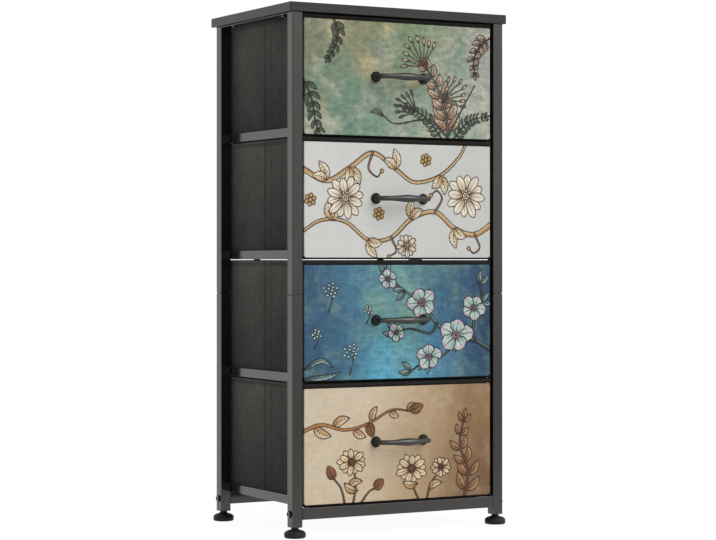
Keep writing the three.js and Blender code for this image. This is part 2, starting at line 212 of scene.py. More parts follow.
def makePowderCoat(shade=None):
    # Given a shade, faces turned to the front get a painted shade between its two heights, to its tone
    look = {"colour": (0.066, 0.064, 0.060), "roughness": 0.17, "metallic": 0.9,
            "mottle": (9.0, 900.0, 0.14, 0.12), "peel": 0.000026, "turned": (-0.6, -0.9)}
    material, tree, principled = newMaterial("powderCoat", look)
    cloud = placeGroup(tree, mottle, look["mottle"])
    tone = cloud["Tone"]
    # Painted shade on the faces turned to the front
    if shade:
        first, last, dark = shade
        height = partsNode(tree, placeNode(tree))[2]
        facing = partsNode(tree, addNode(tree, "ShaderNodeTexCoord").outputs["Normal"])[1]
        amount = product(tree, mapRange(tree, height, first, last, 0.0, 1 - dark),
                         mapRange(tree, facing, *look["turned"], 0.0, 1.0))
        tone = product(tree, tone, mathNode(tree, "SUBTRACT", 1.0, amount))
    joinShader(tree, principled, tinted(tree, look["colour"], tone), cloud["Height"], look["peel"])
    return material


def makeBoardFoil():
    # Fine grain that runs along the width of the board. The noise has a detail, a roughness and a distortion.
    look = {"colour": (0.0155, 0.015, 0.0135), "roughness": 0.34, "specular": 0.29, "bump": 0.00012,
            "stretch": (9.0, 260.0, 260.0), "noise": (5.0, 0.65, 0.4), "range": (0.2, 0.8), "grain": 0.22}
    material, tree, principled = newMaterial("boardFoil", look)
    grain = noiseNode(tree, placeNode(tree, look["stretch"]), 1.0, *look["noise"])
    tone = mapRange(tree, grain, *look["range"], 1 - look["grain"], 1 + look["grain"])
    joinShader(tree, principled, tinted(tree, look["colour"], tone), grain, look["bump"])
    return material


def makePlain(name, look):
    # A mottled colour, and a second colour where the point attribute of that name is 1: a painted highlight
    # on the bolts and a painted shade on the handles' rosettes
    material, tree, principled = newMaterial(name, look)
    cloud = placeGroup(tree, mottle, look["mottle"])
    colour = tinted(tree, look["colour"], cloud["Tone"])
    if "accent" in look:
        colour = mixColours(tree, attributeNode(tree, "accent"), colour, (*look["accent"], 1))
    joinShader(tree, principled, colour, cloud["Height"], look["bump"])
    return material


def makeCloth():
    # Lighter towards the top of each box and darker towards its bottom, a painted light and shade, with a
    # dark hem line and a row of stitches under the rim, and a dark edge on it. Places and spreads are shares
    # of the height.
    look = {"colour": (0.060, 0.058, 0.053), "roughness": 0.95, "specular": 0.12, "weave": (0.0013, 1.1),
            "mottle": (16.0, 300.0, 0.5, 0.2), "bump": 0.00025,
            "lowTone": 0.60, "highTone": 1.52, "highPlace": 0.95,
            "hemPlace": 0.971, "hemSpread": (0.004, 0.011), "hemTone": 0.6,
            "rimPlace": (0.978, 0.984), "rimTone": 0.9, "edgePlace": (0.990, 0.995), "edgeTone": 0.35,
            "stitchPlace": 0.957, "stitchSpread": (0.001, 0.004), "stitchTone": 0.55, "stitchPitch": 0.0052}
    material, tree, principled = newMaterial("drawerCloth", look)
    threads = placeGroup(tree, weave, look["weave"])
    cloud = placeGroup(tree, mottle, look["mottle"])
    share = attributeNode(tree, "levelShare")
    # Painted light and shade: darker towards the bottom of each box, lighter towards its top
    gradient = mapRange(tree, share, 0.0, look["highPlace"], look["lowTone"], look["highTone"])
    away = {key: mathNode(tree, "ABSOLUTE", mathNode(tree, "SUBTRACT", share, look[key + "Place"]))
            for key in ("hem", "stitch")}
    hem = mapRange(tree, away["hem"], *look["hemSpread"], look["hemTone"], 1.0, "SMOOTHSTEP")
    rim = mapRange(tree, share, *look["rimPlace"], 1.0, look["rimTone"])
    edge = mapRange(tree, share, *look["edgePlace"], 1.0, look["edgeTone"])
    place = partsNode(tree, placeNode(tree))
    run = mathNode(tree, "ADD", place[0], place[1])
    beat = mathNode(tree, "SINE", product(tree, run, 2 * math.pi / look["stitchPitch"]))
    stitch = product(tree, mapRange(tree, beat, 0.0, 0.5, 0.0, 1.0),
                     mapRange(tree, away["stitch"], *look["stitchSpread"], 1.0, 0.0))
    seam = mapRange(tree, stitch, 0.0, 1.0, 1.0, look["stitchTone"])
    tone = product(tree, threads["Tone"], cloud["Tone"], gradient, attributeNode(tree, "foldShade"),
                   hem, rim, edge, seam)
    joinShader(tree, principled, tinted(tree, look["colour"], tone), threads["Height"], look["bump"])
    return material


materials = {
    "steel": makePowderCoat(),
    "board": makeBoardFoil(),
    "cloth": makeCloth(),
    "foot": makePlain("footPlastic", {
        "colour": (0.011, 0.011, 0.011), "roughness": 0.5, "specular": 0.2,
        "mottle": (40.0, 900.0, 0.3, 0.5), "bump": 0.00008}),
    # The black steel's second colour is a painted highlight on the bolt heads
    "fastener": makePlain("blackSteel", {
        "colour": (0.012, 0.012, 0.012), "accent": (0.42, 0.42, 0.40), "roughness": 0.35, "metallic": 0.9,
        "specular": 0.3, "mottle": (60.0, 1500.0, 0.2, 0.2), "bump": 0.00003}),
    "strapScrew": makePlain("paleSteel", {
        "colour": (0.17, 0.17, 0.165), "roughness": 0.35, "metallic": 0.9,
        "mottle": (60.0, 1500.0, 0.2, 0.2), "bump": 0.00003}),
    # The gunmetal's second colour is a painted shade on the rosettes' rings
    "handle": makePlain("gunmetal", {
        "colour": (0.060, 0.061, 0.058), "accent": (0.018, 0.018, 0.017), "roughness": 0.30,
        "metallic": 0.85, "mottle": (50.0, 1100.0, 0.15, 0.1), "bump": 0.00003}),
    "bottomBoard": makePlain("bottomBoard", {
        "colour": (0.02, 0.02, 0.02), "roughness": 0.9, "mottle": (12.0, 500.0, 0.3, 0.3), "bump": 0.0001}),
}
print("materials made:", len(materials))


# Surfaces

def boxOf(name):
    return [np.array(corner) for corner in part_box(name)]


def sizeOf(name):
    low, high = boxOf(name)
    return high - low


def makePiece(name, points, faces, material, body, node, normals=None):
    # A mesh from an array of points and a list of faces, at the origin, riding on its body
    mesh = bpy.data.meshes.new(name)
    mesh.from_pydata(points.reshape(-1, 3).tolist(), [], faces)
    mesh.polygons.foreach_set("use_smooth", np.ones(len(mesh.polygons), bool))
    mesh.materials.append(material)
    mesh.update()
    if normals is not None:
        mesh.normals_split_custom_set_from_vertices(normals.reshape(-1, 3).tolist())
    made = bpy.data.objects.new(name, mesh)
    bpy.context.scene.collection.objects.link(made)
    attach(made, body)
    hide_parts(node)
    return made


def addValues(made, **values):
    # Numbers on the points, for the materials to read
    for key, numbers in values.items():
        made.data.attributes.new(key, "FLOAT", "POINT").data.foreach_set("value", np.ravel(numbers))


def tubeFaces(rings, count):
    # Quads between neighbouring rings of a closed outline, (i, j), (i, j + 1), (i + 1, j + 1), (i + 1, j),
    # and a cap at each end
    i = np.arange(rings - 1)[:, None] * count
    j = np.arange(count)[None, :]
    following = (j + 1) % count
    quads = np.stack([i + j, i + following, i + count + following, i + count + j], axis=-1)
    last = (rings - 1) * count
    return quads.reshape(-1, 4).tolist() + [list(range(count - 1, -1, -1)), list(range(last, last + count))]


# Steps in the arc of a corner, and in the quarter circle at an end
arcSteps, edgeSteps = 5, 4


def softOutline(corners, radius):
    # A closed anticlockwise outline whose corners are arcs: centre + r·n(a), with the normal n turning from
    # one side's to the next one's. At a hollow corner the centre lies outside. Returns points and normals.
    corners = np.asarray(corners, float)
    before = corners - np.roll(corners, 1, axis=0)
    before /= np.linalg.norm(before, axis=1)[:, None]
    after = np.roll(before, -1, axis=0)
    cross = before[:, 0] * after[:, 1] - before[:, 1] * after[:, 0]
    turn = np.arctan2(cross, (before * after).sum(axis=1))[:, None]
    way = np.sign(turn)
    outward = np.stack([before[:, 1], -before[:, 0]], axis=1)
    centres = corners - before * radius * np.tan(np.abs(turn) / 2) - way * radius * outward
    angles = turn * np.linspace(0, 1, arcSteps + 1)[None, :]
    across = np.stack([-outward[:, 1], outward[:, 0]], axis=1)
    normals = outward[:, None, :] * np.cos(angles)[..., None] + across[:, None, :] * np.sin(angles)[..., None]
    points = centres[:, None, :] + (way * radius)[:, None, :] * normals
    return points.reshape(-1, 2), normals.reshape(-1, 2)


def rectangleCorners(width, height):
    x, y = width / 2, height / 2
    return [(-x, -y), (x, -y), (x, y), (-x, y)]


crossAxes = {"X": (1, 2, 0), "Y": (2, 0, 1), "Z": (0, 1, 2)}


def carriedProfile(axis, outline, normals, low, high, edge, centre):
    # P(s, t) = centre + s·axis + outline(t) - inset(s)·n(t). At each end s and the inset follow a quarter
    # circle: s = end ± e(1 - |sin b|), inset = e(1 - cos b), and the normal is cos b·n(t) + sin b·axis.
    quarter = np.linspace(0, math.pi / 2, edgeSteps + 1)
    turn = np.concatenate([quarter - math.pi / 2, quarter])
    place = np.where(np.arange(len(turn)) <= edgeSteps, low + edge, high - edge) + edge * np.sin(turn)
    inset = edge * (1 - np.cos(turn))
    flat = outline[None, :, :] - inset[:, None, None] * normals[None, :, :]
    first, second, along = crossAxes[axis]
    points = np.zeros((len(turn), len(outline), 3))
    points[..., first] = flat[..., 0] + centre[first]
    points[..., second] = flat[..., 1] + centre[second]
    points[..., along] = place[:, None]
    facing = np.zeros_like(points)
    facing[..., first] = normals[None, :, 0] * np.cos(turn)[:, None]
    facing[..., second] = normals[None, :, 1] * np.cos(turn)[:, None]
    facing[..., along] = np.sin(turn)[:, None]
    return points, tubeFaces(len(turn), len(outline)), facing


def straightPiece(name, axis, corners, look, material):
    # A piece of constant section in the place of the CAD node of the same name
    low, high = boxOf(name)
    outline, normals = softOutline(corners, look["corner"])
    along = crossAxes[axis][2]
    points, faces, facing = carriedProfile(
        axis, outline, normals, low[along], high[along], look["edge"], (low + high) / 2
    )
    makePiece(name + "_piece", points, faces, material, "frame", name, facing)


# Top board
boardLook = {"corner": 0.0018, "edge": 0.0009}
boardSize = sizeOf("top_board")
straightPiece("top_board", "Z", rectangleCorners(*boardSize[:2]), boardLook, materials["board"])

# Posts, of which the lower ones end in a low step that stands for the neck inside the seam
postLook = {"corner": 0.0014, "edge": 0.0006, "seamGap": 0.0009, "neckInset": 0.0018, "neckGap": 0.0001}
frameCorners = [(end, side) for end in ("front", "rear") for side in ("left", "right")]
for end, side in frameCorners:
    upper, lower = f"{end}_{side}_upper_post", f"{end}_{side}_lower_post"
    corners = rectangleCorners(*sizeOf(upper)[:2])
    straightPiece(upper, "Z", corners, postLook, materials["steel"])
    low, high = boxOf(lower)
    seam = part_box(upper)[0][2] - postLook["seamGap"]
    outline, normals = softOutline(corners, postLook["corner"])
    points, faces, facing = carriedProfile(
        "Z", outline, normals, low[2], seam, postLook["edge"], (low + high) / 2
    )
    neck = np.repeat(points[-1:], 2, axis=0)
    neck[..., :2] -= postLook["neckInset"] * normals
    neck[1, :, 2] += postLook["seamGap"] - postLook["neckGap"]
    points = np.vstack([points, neck])
    facing = np.vstack([facing, np.full_like(facing[:1], (0, 0, 1)), facing[[edgeSteps + 1]]])
    faces = tubeFaces(len(points), len(outline))
    makePiece(lower + "_piece", points, faces, materials["steel"], "frame", lower, facing)
print("board and posts made")

# Side rails, of L section in the axes Z and X, and flat straps
railLook = {"corner": 0.0007, "edge": 0.0005, "wall": 0.0015}
strapLook = {"corner": 0.0006, "edge": 0.0005}
for side, way in (("left", 1), ("right", -1)):
    for number in range(1, 5):
        name = f"{side}_rail_{number}"
        width, _, height = sizeOf(name)
        wall = railLook["wall"]
        across = np.array([0, width, width, wall, wall, 0]) - width / 2
        up = np.array([0, 0, wall, wall, height, height]) - height / 2
        corners = np.stack([up, way * across], axis=1)[::-way]
        straightPiece(name, "Y", corners, railLook, materials["steel"])
    width, _, height = sizeOf(f"{side}_top_strap")
    straightPiece(f"{side}_top_strap", "Y", rectangleCorners(height, width), strapLook, materials["steel"])

# Rear bars, flat with two tabs that hang down
rearBarLook = {"corner": 0.0007, "edge": 0.0005, "tabWidth": 0.013, "tabDrop": 0.012, "tabSpacing": 0.252}
for number in range(1, 4):
    width, _, height = sizeOf(f"rear_bar_{number}")
    x, foot, top = width / 2, -height / 2, height / 2
    step = foot + rearBarLook["tabDrop"]
    corners = [(-x, step)]
    for middle in (-rearBarLook["tabSpacing"] / 2, rearBarLook["tabSpacing"] / 2):
        left, right = middle - rearBarLook["tabWidth"] / 2, middle + rearBarLook["tabWidth"] / 2
        corners += [(left, step), (left, foot), (right, foot), (right, step)]
    corners += [(x, step), (x, top), (-x, top)]
    corners = [(up, across) for across, up in corners][::-1]
    straightPiece(f"rear_bar_{number}", "Y", corners, rearBarLook, materials["steel"])

# Bottom bars, with a painted shade on the upper front of the rear one, where the lowest drawer shades it
bottomBarLook = {
    "corner": 0.0006, "edge": 0.0006, "shadeDrop": 0.0105, "shadeFull": 0.0025, "shadeTone": 0.12,
}
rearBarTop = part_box("rear_bottom_bar")[1][2]
shadeHeights = [rearBarTop - bottomBarLook[key] for key in ("shadeDrop", "shadeFull")]
shadedSteel = makePowderCoat((*shadeHeights, bottomBarLook["shadeTone"]))
for end, metal in (("front", materials["steel"]), ("rear", shadedSteel)):
    corners = rectangleCorners(*sizeOf(f"{end}_bottom_bar")[1:])
    straightPiece(f"{end}_bottom_bar", "X", corners, bottomBarLook, metal)
print("rails, straps and bars made")


def turnedPiece(outline, centre, steps, turnAxis="Z"):
    # P(a, t) = centre + r(t)(cos a, sin a) square to the axis + h(t) along it, from pole to pole
    angles = np.linspace(0, 2 * math.pi, steps, endpoint=False)
    radius, height = np.asarray(outline, float).T
    first, second, along = crossAxes[turnAxis]
    points = np.zeros((len(radius), steps, 3))
    points[..., first] = radius[:, None] * np.cos(angles) + centre[first]
    points[..., second] = radius[:, None] * np.sin(angles) + centre[second]
    points[..., along] = height[:, None] + centre[along]
    return points, tubeFaces(len(radius), steps)


def smoothLine(points, steps):
    # Catmull-Rom: 0.5(2b + (c - a)t + (2a - 5b + 4c - d)t² + (3b - 3c + d - a)t³) between b and c
    points = np.asarray(points, float)
    padded = np.vstack([2 * points[0] - points[1], points, 2 * points[-1] - points[-2]])
    t = np.linspace(0, 1, steps, endpoint=False)[None, :, None]
    a, b, c, d = (padded[start:len(padded) - 3 + start, None, :] for start in range(4))
    line = 0.5 * (2 * b + (c - a) * t + (2 * a - 5 * b + 4 * c - d) * t**2 + (3 * b - 3 * c + d - a) * t**3)
    return np.vstack([line.reshape(-1, points.shape[1]), points[-1:]])


# Levelling feet, each a domed disc under a collar
footLook = {
    "radius": 0.018,
    "height": 0.0146,
    "shares": [(0.0, 0.0), (0.8, 0.0), (0.9, 0.02), (0.97, 0.09), (1.0, 0.2), (1.0, 0.46), (0.985, 0.56),
               (0.93, 0.66), (0.8, 0.78), (0.62, 0.87), (0.45, 0.93), (0.38, 0.97), (0.36, 1.0)],
    "collar": [(0.0061, 0.0152), (0.0062, 0.0168), (0.0059, 0.0172), (0.0, 0.0172)],
    "steps": 48,
}
footOutline = [(r * footLook["radius"], h * footLook["height"]) for r, h in footLook["shares"]]
footOutline += footLook["collar"]
for end, side in frameCorners:
    name = f"{end}_{side}_foot"
    low, high = boxOf(name)
    centre = (*(low + high)[:2] / 2, low[2])
    points, faces = turnedPiece(footOutline, centre, footLook["steps"])
    makePiece(name + "_piece", points, faces, materials["foot"], name, name)
print("feet made")


# Frame bolts
boltLook = {
    "shank": [(0.0, 0.0), (0.0026, 0.0), (0.003, 0.0004)],
    "head": [(0.003, 0.0), (0.0055, 0.0), (0.00575, 0.0002), (0.00575, 0.0007), (0.0055, 0.0016),
             (0.0051, 0.0025), (0.0046, 0.0031), (0.0042, 0.0033), (0.0037, 0.0034), (0.0033, 0.0033)],
    "socket": [(0.0027, 0.0031), (0.0027, 0.0006), (0.0, 0.0006)],
    "highlightRings": (7, 8, 9),  # of the head
    "highlightFront": 0.0035,
    "sink": 0.0001,  # of the head in the post
    "steps": 48,
}


def makeBolt(name, way):
    # A button head, with a painted highlight round its socket that is strongest towards the front. The
    # socket's rings have r / cos b, with b the angle from the middle of the hexagon's nearest side.
    low, high = boxOf(name)
    shank, head, socket = (boltLook[key] for key in ("shank", "head", "socket"))
    height = max(rise for _, rise in head) - boltLook["sink"]
    length = high[0] - low[0] - height
    outline = [(radius, rise - length) for radius, rise in shank] + head + socket
    points, faces = turnedPiece(outline, (0, 0, 0), boltLook["steps"], "X")
    angles = np.linspace(0, 2 * math.pi, boltLook["steps"], endpoint=False)
    stretch = 1 / np.cos((angles + math.pi / 6) % (math.pi / 3) - math.pi / 6)
    points[-len(socket):, :, 1:] *= stretch[None, :, None]
    if way < 0:
        points[..., 0] *= -1
        faces = [face[::-1] for face in faces]
    seat = low[0] + height if way < 0 else high[0] - height
    centre = (seat, *(low + high)[1:] / 2)
    made = makePiece(name + "_piece", points + centre, faces, materials["fastener"], "frame", name)
    # Painted highlight on three rings of the head, fading away from the front
    accent = np.zeros(points.shape[:2])
    highlighted = [len(shank) + ring for ring in boltLook["highlightRings"]]
    accent[highlighted] = np.clip(0.5 - points[highlighted, :, 1] / boltLook["highlightFront"], 0, 1)
    addValues(made, accent=accent)


for end, side in frameCorners:
    makeBolt(f"{end}_{side}_bolt", -1 if side == "left" else 1)
print("bolts made")


# Fabric boxes, card walls in a woven cover, open at the top
boxLook = {
    "corner": 0.0016, "wall": 0.003, "bulge": 0.0011, "bottomEdge": 0.0012, "frontGap": 0.0003,
    "spacing": 0.006, "hemHeight": 0.0077, "hemRise": 0.0007, "fold": 0.0004, "floorInsets": (0.012, 0.004),
    "lip": 0.0088, "sideLip": 0.0014, "rimRise": {1: 0.0, 2: 0.0007, 3: 0.0001, 4: 0.0002},
    "cornerRise": {1: 0.0, 2: 0.0005, 3: 0.0, 4: 0.0006}, "cornerReach": 0.014,
    # Each crease is a place along Y, a depth and a width
    "creases": [(0.0105, 0.0010, 0.0020), (-0.0115, 0.0004, 0.0016), (-0.0525, 0.0003, 0.0014)],
    "creaseFade": 6, "creaseSpread": 0.004, "creaseSteps": 9, "cornerSteps": 6,
    # Painted shade in the creases and on the front, darker to the front, painted light at the rear
    "creaseShade": (0.30, 0.16, 0.14), "creaseWidth": 0.0042, "rimShade": 0.27,
    "shadePlaces": (-0.02, 0.045, 0.12, 0.14), "shades": (0.80, 1, 1, 1.12),  # places along Y
    "rings": {"bend": 5, "wall": 40, "hem": 5, "rim": 13, "lining": 4, "inside": 18},
}
# The binding's shade is a painted shade that makes it near-black, for the gap under the front
bindingLook = {
    "side": 0.0008, "front": 0.0004, "depth": 0.0027, "below": 0.0020, "above": 0.001, "edge": 0.0006,
    "lowest": 0.0035, "clearance": 0.0003, "shade": 0.06, "share": 0.99,
}
millimetre = 0.001
frontLook = {  # in millimetres, but a back ring is a share of the depth and an inset
    "step": 0.85, "evenFrom": 1.8, "edgePlaces": (0.0, 0.08, 0.25, 0.5, 0.8, 1.05, 1.3), "edgeRadius": 1.3,
    "topCorner": 1.5, "lowCorner": 5.0, "rise": 0.7, "drop": {1: 0.0, 2: 0.0, 3: 0.0, 4: 0.6},
    "backRings": ((0.4, 0.0), (0.75, 0.0), (0.97, 0.0), (1.0, 0.3), (1.0, 2.5)),
}


def clustered(low, high, centres=()):
    # Even places from low to high, with extra ones close to each centre
    even = np.linspace(low, high, int(round((high - low) / boxLook["spacing"])) + 1)
    spread = boxLook["creaseSpread"]
    extra = [centre + np.linspace(-spread, spread, boxLook["creaseSteps"]) for centre in centres]
    joined = np.unique(np.round(np.concatenate([even, *extra]), 6))
    return joined[(joined >= low) & (joined <= high)]


def boxOutline(size, middleY):
    # The four sides of the box from corner arc to corner arc, anticlockwise, with finer steps at the creases
    radius = boxLook["corner"]
    halfX, halfY = size[0] / 2, size[1] / 2
    x, y = halfX - radius, halfY - radius
    quarter = np.linspace(0, math.pi / 2, boxLook["cornerSteps"] + 1)[1:-1]
    alongX = clustered(-x, x)
    alongY = clustered(-y, y, [place - middleY for place, _, _ in boxLook["creases"]])
    parts, facing = [], []

    def add(points, normals):
        parts.append(points)
        facing.append(np.broadcast_to(np.array(normals, float), points.shape))

    def arc(centre, start):
        unit = np.stack([np.cos(start + quarter), np.sin(start + quarter)], axis=1)
        add(centre + radius * unit, unit)

    def side(across, along, normal):
        add(np.stack(np.broadcast_arrays(across, along), axis=1), normal)

    side(alongX, -halfY, (0, -1))
    arc((x, -y), -math.pi / 2)
    side(halfX, alongY, (1, 0))
    arc((x, y), 0)
    side(alongX[::-1], halfY, (0, 1))
    arc((-x, y), math.pi / 2)
    side(-halfX, alongY[::-1], (-1, 0))
    arc((-x, -y), math.pi)
    return np.vstack(parts), np.vstack(facing)


def bindingStrip(number):
    # The dark binding under the printed front, near-black with a painted shade of the gap under it. The
    # lowest one hangs to just above the bottom bar.
    low, high = boxOf(f"drawer_{number}_front_board")
    look, seam = bindingLook, low[2] - frontLook["drop"][number] * millimetre
    bottom, top = seam - look["below"], seam + look["above"]
    if number == 4:
        bottom = max(seam - look["lowest"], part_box("front_bottom_bar")[1][2] + look["clearance"])
    outline, normals = softOutline(rectangleCorners(look["depth"], top - bottom), look["edge"])
    centre = (0, low[1] + look["front"] + look["depth"] / 2, (bottom + top) / 2)
    half = (high[0] - low[0]) / 2 - look["side"]
    points, faces, _ = carriedProfile("X", outline, normals, -half, half, look["edge"], centre)
    return points.reshape(-1, 3), faces


def boxRows(height):
    # For each ring of a box its inset, its height and its share of the lip, up the outside, over the hem and
    # down the inside
    wall, rise, bend, fold = (boxLook[key] for key in ("wall", "hemRise", "bottomEdge", "fold"))
    hem, shoulder, rings = height - boxLook["hemHeight"], height - wall / 2, boxLook["rings"]
    rows = [(inset, 0, 0) for inset in boxLook["floorInsets"]]
    rows += [(bend * (1 - math.sin(b)), bend * (1 - math.cos(b)), 0)
             for b in np.linspace(0, math.pi / 2, rings["bend"])]
    rows += [(0, z, 0) for z in np.linspace(bend, hem - fold, rings["wall"])[1:]]
    rows += [(0, hem, 0.05), (0, hem, 0.93), (-0.8 * rise, hem + 0.75 * fold, 1)]
    rows += [(-rise, z, 1) for z in np.linspace(hem + 2 * fold, shoulder, rings["hem"])]
    rows += [(wall / 2 - (wall / 2 + rise) * math.cos(b), shoulder + wall / 2 * math.sin(b),
              (0.5 + 0.5 * math.cos(b)) ** 0.5) for b in np.linspace(0, math.pi, rings["rim"])[1:]]
    rows += [(wall + rise, z, 0) for z in np.linspace(shoulder, hem, rings["lining"])[1:]]
    rows += [(wall, z, 0) for z in np.linspace(hem - fold, wall, rings["inside"])]
    rows += [(wall + boxLook["floorInsets"][0], wall, 0)]
    return np.array(rows, float).T


def makeFabricBox(number):
    # Outer walls swell by bulge·(1 - u²)(1 - w²), with u along the side and w up it, and sink into each
    # crease by depth·exp(-(distance / width)²), which fades by 6(1 - |w|) at its ends. At the front the hem
    # laps over the front board, and a strip of binding hangs under that board. The rim lifts by
    # cornerRise·exp(-(d / reach)²) at a distance d from a corner. The painted shade is 1 less a bell at each
    # crease, darker towards the front and lighter at the rear, dark on the faces turned to the front, and
    # near-black on the binding.
    name = f"drawer_{number}_fabric_box"
    low, high = boxOf(name)
    low[1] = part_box(f"drawer_{number}_front_board")[1][1] + boxLook["frontGap"]
    size, middle = high - low, (low + high) / 2
    outline, normals = boxOutline(size, middle[1])
    inset, up, lip = boxRows(size[2])
    side, front = np.abs(normals[:, 0]), normals[:, 1] < -0.01
    onSide = side > 0.99
    flat = outline[None] - inset[:, None, None] * normals[None]
    flat[..., 1] -= boxLook["lip"] * lip[:, None] * front
    flat[..., 0] += boxLook["sideLip"] * lip[:, None] * np.sign(normals[:, 0]) * (side > 0.01)
    along = np.where(onSide, outline[:, 1] / (size[1] / 2), outline[:, 0] / (size[0] / 2))
    straight = (np.max(np.abs(normals), axis=1) > 0.99).astype(float)
    level = 2 * up / size[2] - 1
    swell = np.clip(1 - along**2, 0, 1)[None] * np.clip(1 - level**2, 0, 1)[:, None]
    swell = boxLook["bulge"] * swell * straight
    fade = np.clip(boxLook["creaseFade"] * (1 - np.abs(level)), 0, 1)[:, None]
    for place, depth, width in boxLook["creases"]:
        distance = (outline[:, 1] - place + middle[1]) / width
        swell = swell - depth * np.exp(-distance**2) * onSide * fade
    flat = flat + swell[..., None] * normals[None]
    onHem = np.clip((up - size[2] + boxLook["hemHeight"]) / boxLook["hemHeight"], 0, 1)[:, None]
    toCorner = np.hypot(np.abs(outline[:, 0]) - size[0] / 2, np.abs(outline[:, 1]) - size[1] / 2)
    lift = boxLook["cornerRise"][number] * np.exp(-((toCorner / boxLook["cornerReach"]) ** 2))
    points = np.zeros((len(up), len(outline), 3))
    points[..., :2] = flat + middle[:2]
    points[..., 2] = (up + low[2])[:, None] + (boxLook["rimRise"][number] + lift[None]) * onHem
    strip, stripFaces = bindingStrip(number)
    faces = tubeFaces(len(up), len(outline))
    faces += [[index + points.size // 3 for index in face] for face in stripFaces]
    share = np.repeat(np.clip(up / size[2], 0, 1), len(outline))
    place = outline[:, 1] + middle[1]
    # Painted shade: bells at the creases, a slope along Y, and a dark front
    shade = np.interp(place, boxLook["shadePlaces"], boxLook["shades"])
    for (crease, _, _), depth in zip(boxLook["creases"], boxLook["creaseShade"]):
        shade *= 1 - depth * np.exp(-(((place - crease) / boxLook["creaseWidth"]) ** 2))
    shade = np.where(side > 0.5, shade, 1)
    shade = np.where(normals[:, 1] < -0.5, boxLook["rimShade"], shade)
    made = makePiece(f"drawer_{number}_box_piece", np.vstack([points.reshape(-1, 3), strip]), faces,
                     materials["cloth"], f"drawer_{number}", name)
    addValues(made, levelShare=np.append(share, np.full(len(strip), bindingLook["share"])),
              foldShade=np.append(np.tile(shade, len(up)), np.full(len(strip), bindingLook["shade"])))


for number in range(1, 5):
    makeFabricBox(number)
print("fabric boxes made")


# Prints
paintLook = {
    "farInk": 9.0, "margin": 3, "pathSteps": 7, "steepest": 6, "streak": (11, 1.3),
    "fineStreak": (23, 0.7, 1.6), "tipStart": 0.62, "tipRun": 0.33, "tipShare": 0.8, "veinSlant": 1.1,
    "veinThin": 0.67, "veinInk": 0.3, "veinEnds": (0.08, 0.9), "ruffles": (19, 47), "thinnest": 0.1,
    "slopeStep": 0.01,
}


def newCanvas(across, up, washes):
    # The places are in millimetres, across from the middle of a front and up from its lower edge. Each one
    # gets a colour out of 255, the distance to the nearest ink line, and a cover of 1 under a motif.
    # Colour = sum(w·c) / sum(w) over the wash spots, with w = exp(-distance² / radius²).
    spots = np.array(washes, float)
    reach = (across[..., None] - spots[:, 0]) ** 2 + (up[..., None] - spots[:, 1]) ** 2
    weight = np.exp(-reach / spots[:, 2] ** 2) + 1e-4
    colour = weight @ spots[:, 3:] / weight.sum(axis=-1)[..., None]
    return {"across": across, "up": up, "colour": colour, "ink": np.full(across.shape, paintLook["farInk"]),
            "cover": np.zeros(across.shape)}


def windowRound(canvas, places, margin):
    # The points of the canvas round some places, and how far each one lies from each place
    low, high = places.min(axis=0) - margin, places.max(axis=0) + margin
    across, up = canvas["across"], canvas["up"]
    window = (across > low[0]) & (across < high[0]) & (up > low[1]) & (up < high[1])
    return window, across[window][:, None] - places[:, 0], up[window][:, None] - places[:, 1]


def layForm(canvas, window, inside, fill, ink):
    # Inside a form its fill and ink hide what was painted before. Outside, the nearest ink line counts.
    colour, oldInk, cover = (canvas[key][window] for key in ("colour", "ink", "cover"))
    canvas["colour"][window] = np.where(inside[:, None], fill, colour)
    canvas["ink"][window] = np.where(inside, ink, np.minimum(oldInk, ink))
    canvas["cover"][window] = np.where(inside, 1.0, cover)


def nearestOnPath(canvas, path, margin):
    # For the points in the path's window: the distance to the nearest segment, the share of the length at
    # its foot, and the side from the cross product
    window, x, y = windowRound(canvas, path, margin)
    x, y, step = x[:, :-1], y[:, :-1], np.diff(path, axis=0)
    length = np.linalg.norm(step, axis=1) + 1e-9
    foot = np.clip((x * step[:, 0] + y * step[:, 1]) / length**2, 0, 1)
    distance = np.hypot(x - foot * step[:, 0], y - foot * step[:, 1])
    best = np.argmin(distance, axis=1)[:, None]
    total = np.concatenate([[0], np.cumsum(length)])
    along = (total[best] + np.take_along_axis(foot, best, 1) * length[best])[:, 0] / total[-1]
    cross = step[:, 0] * y - step[:, 1] * x
    side = np.sign(np.take_along_axis(cross, best, 1)[:, 0])
    return window, np.take_along_axis(distance, best, 1)[:, 0], along, side, total[-1]


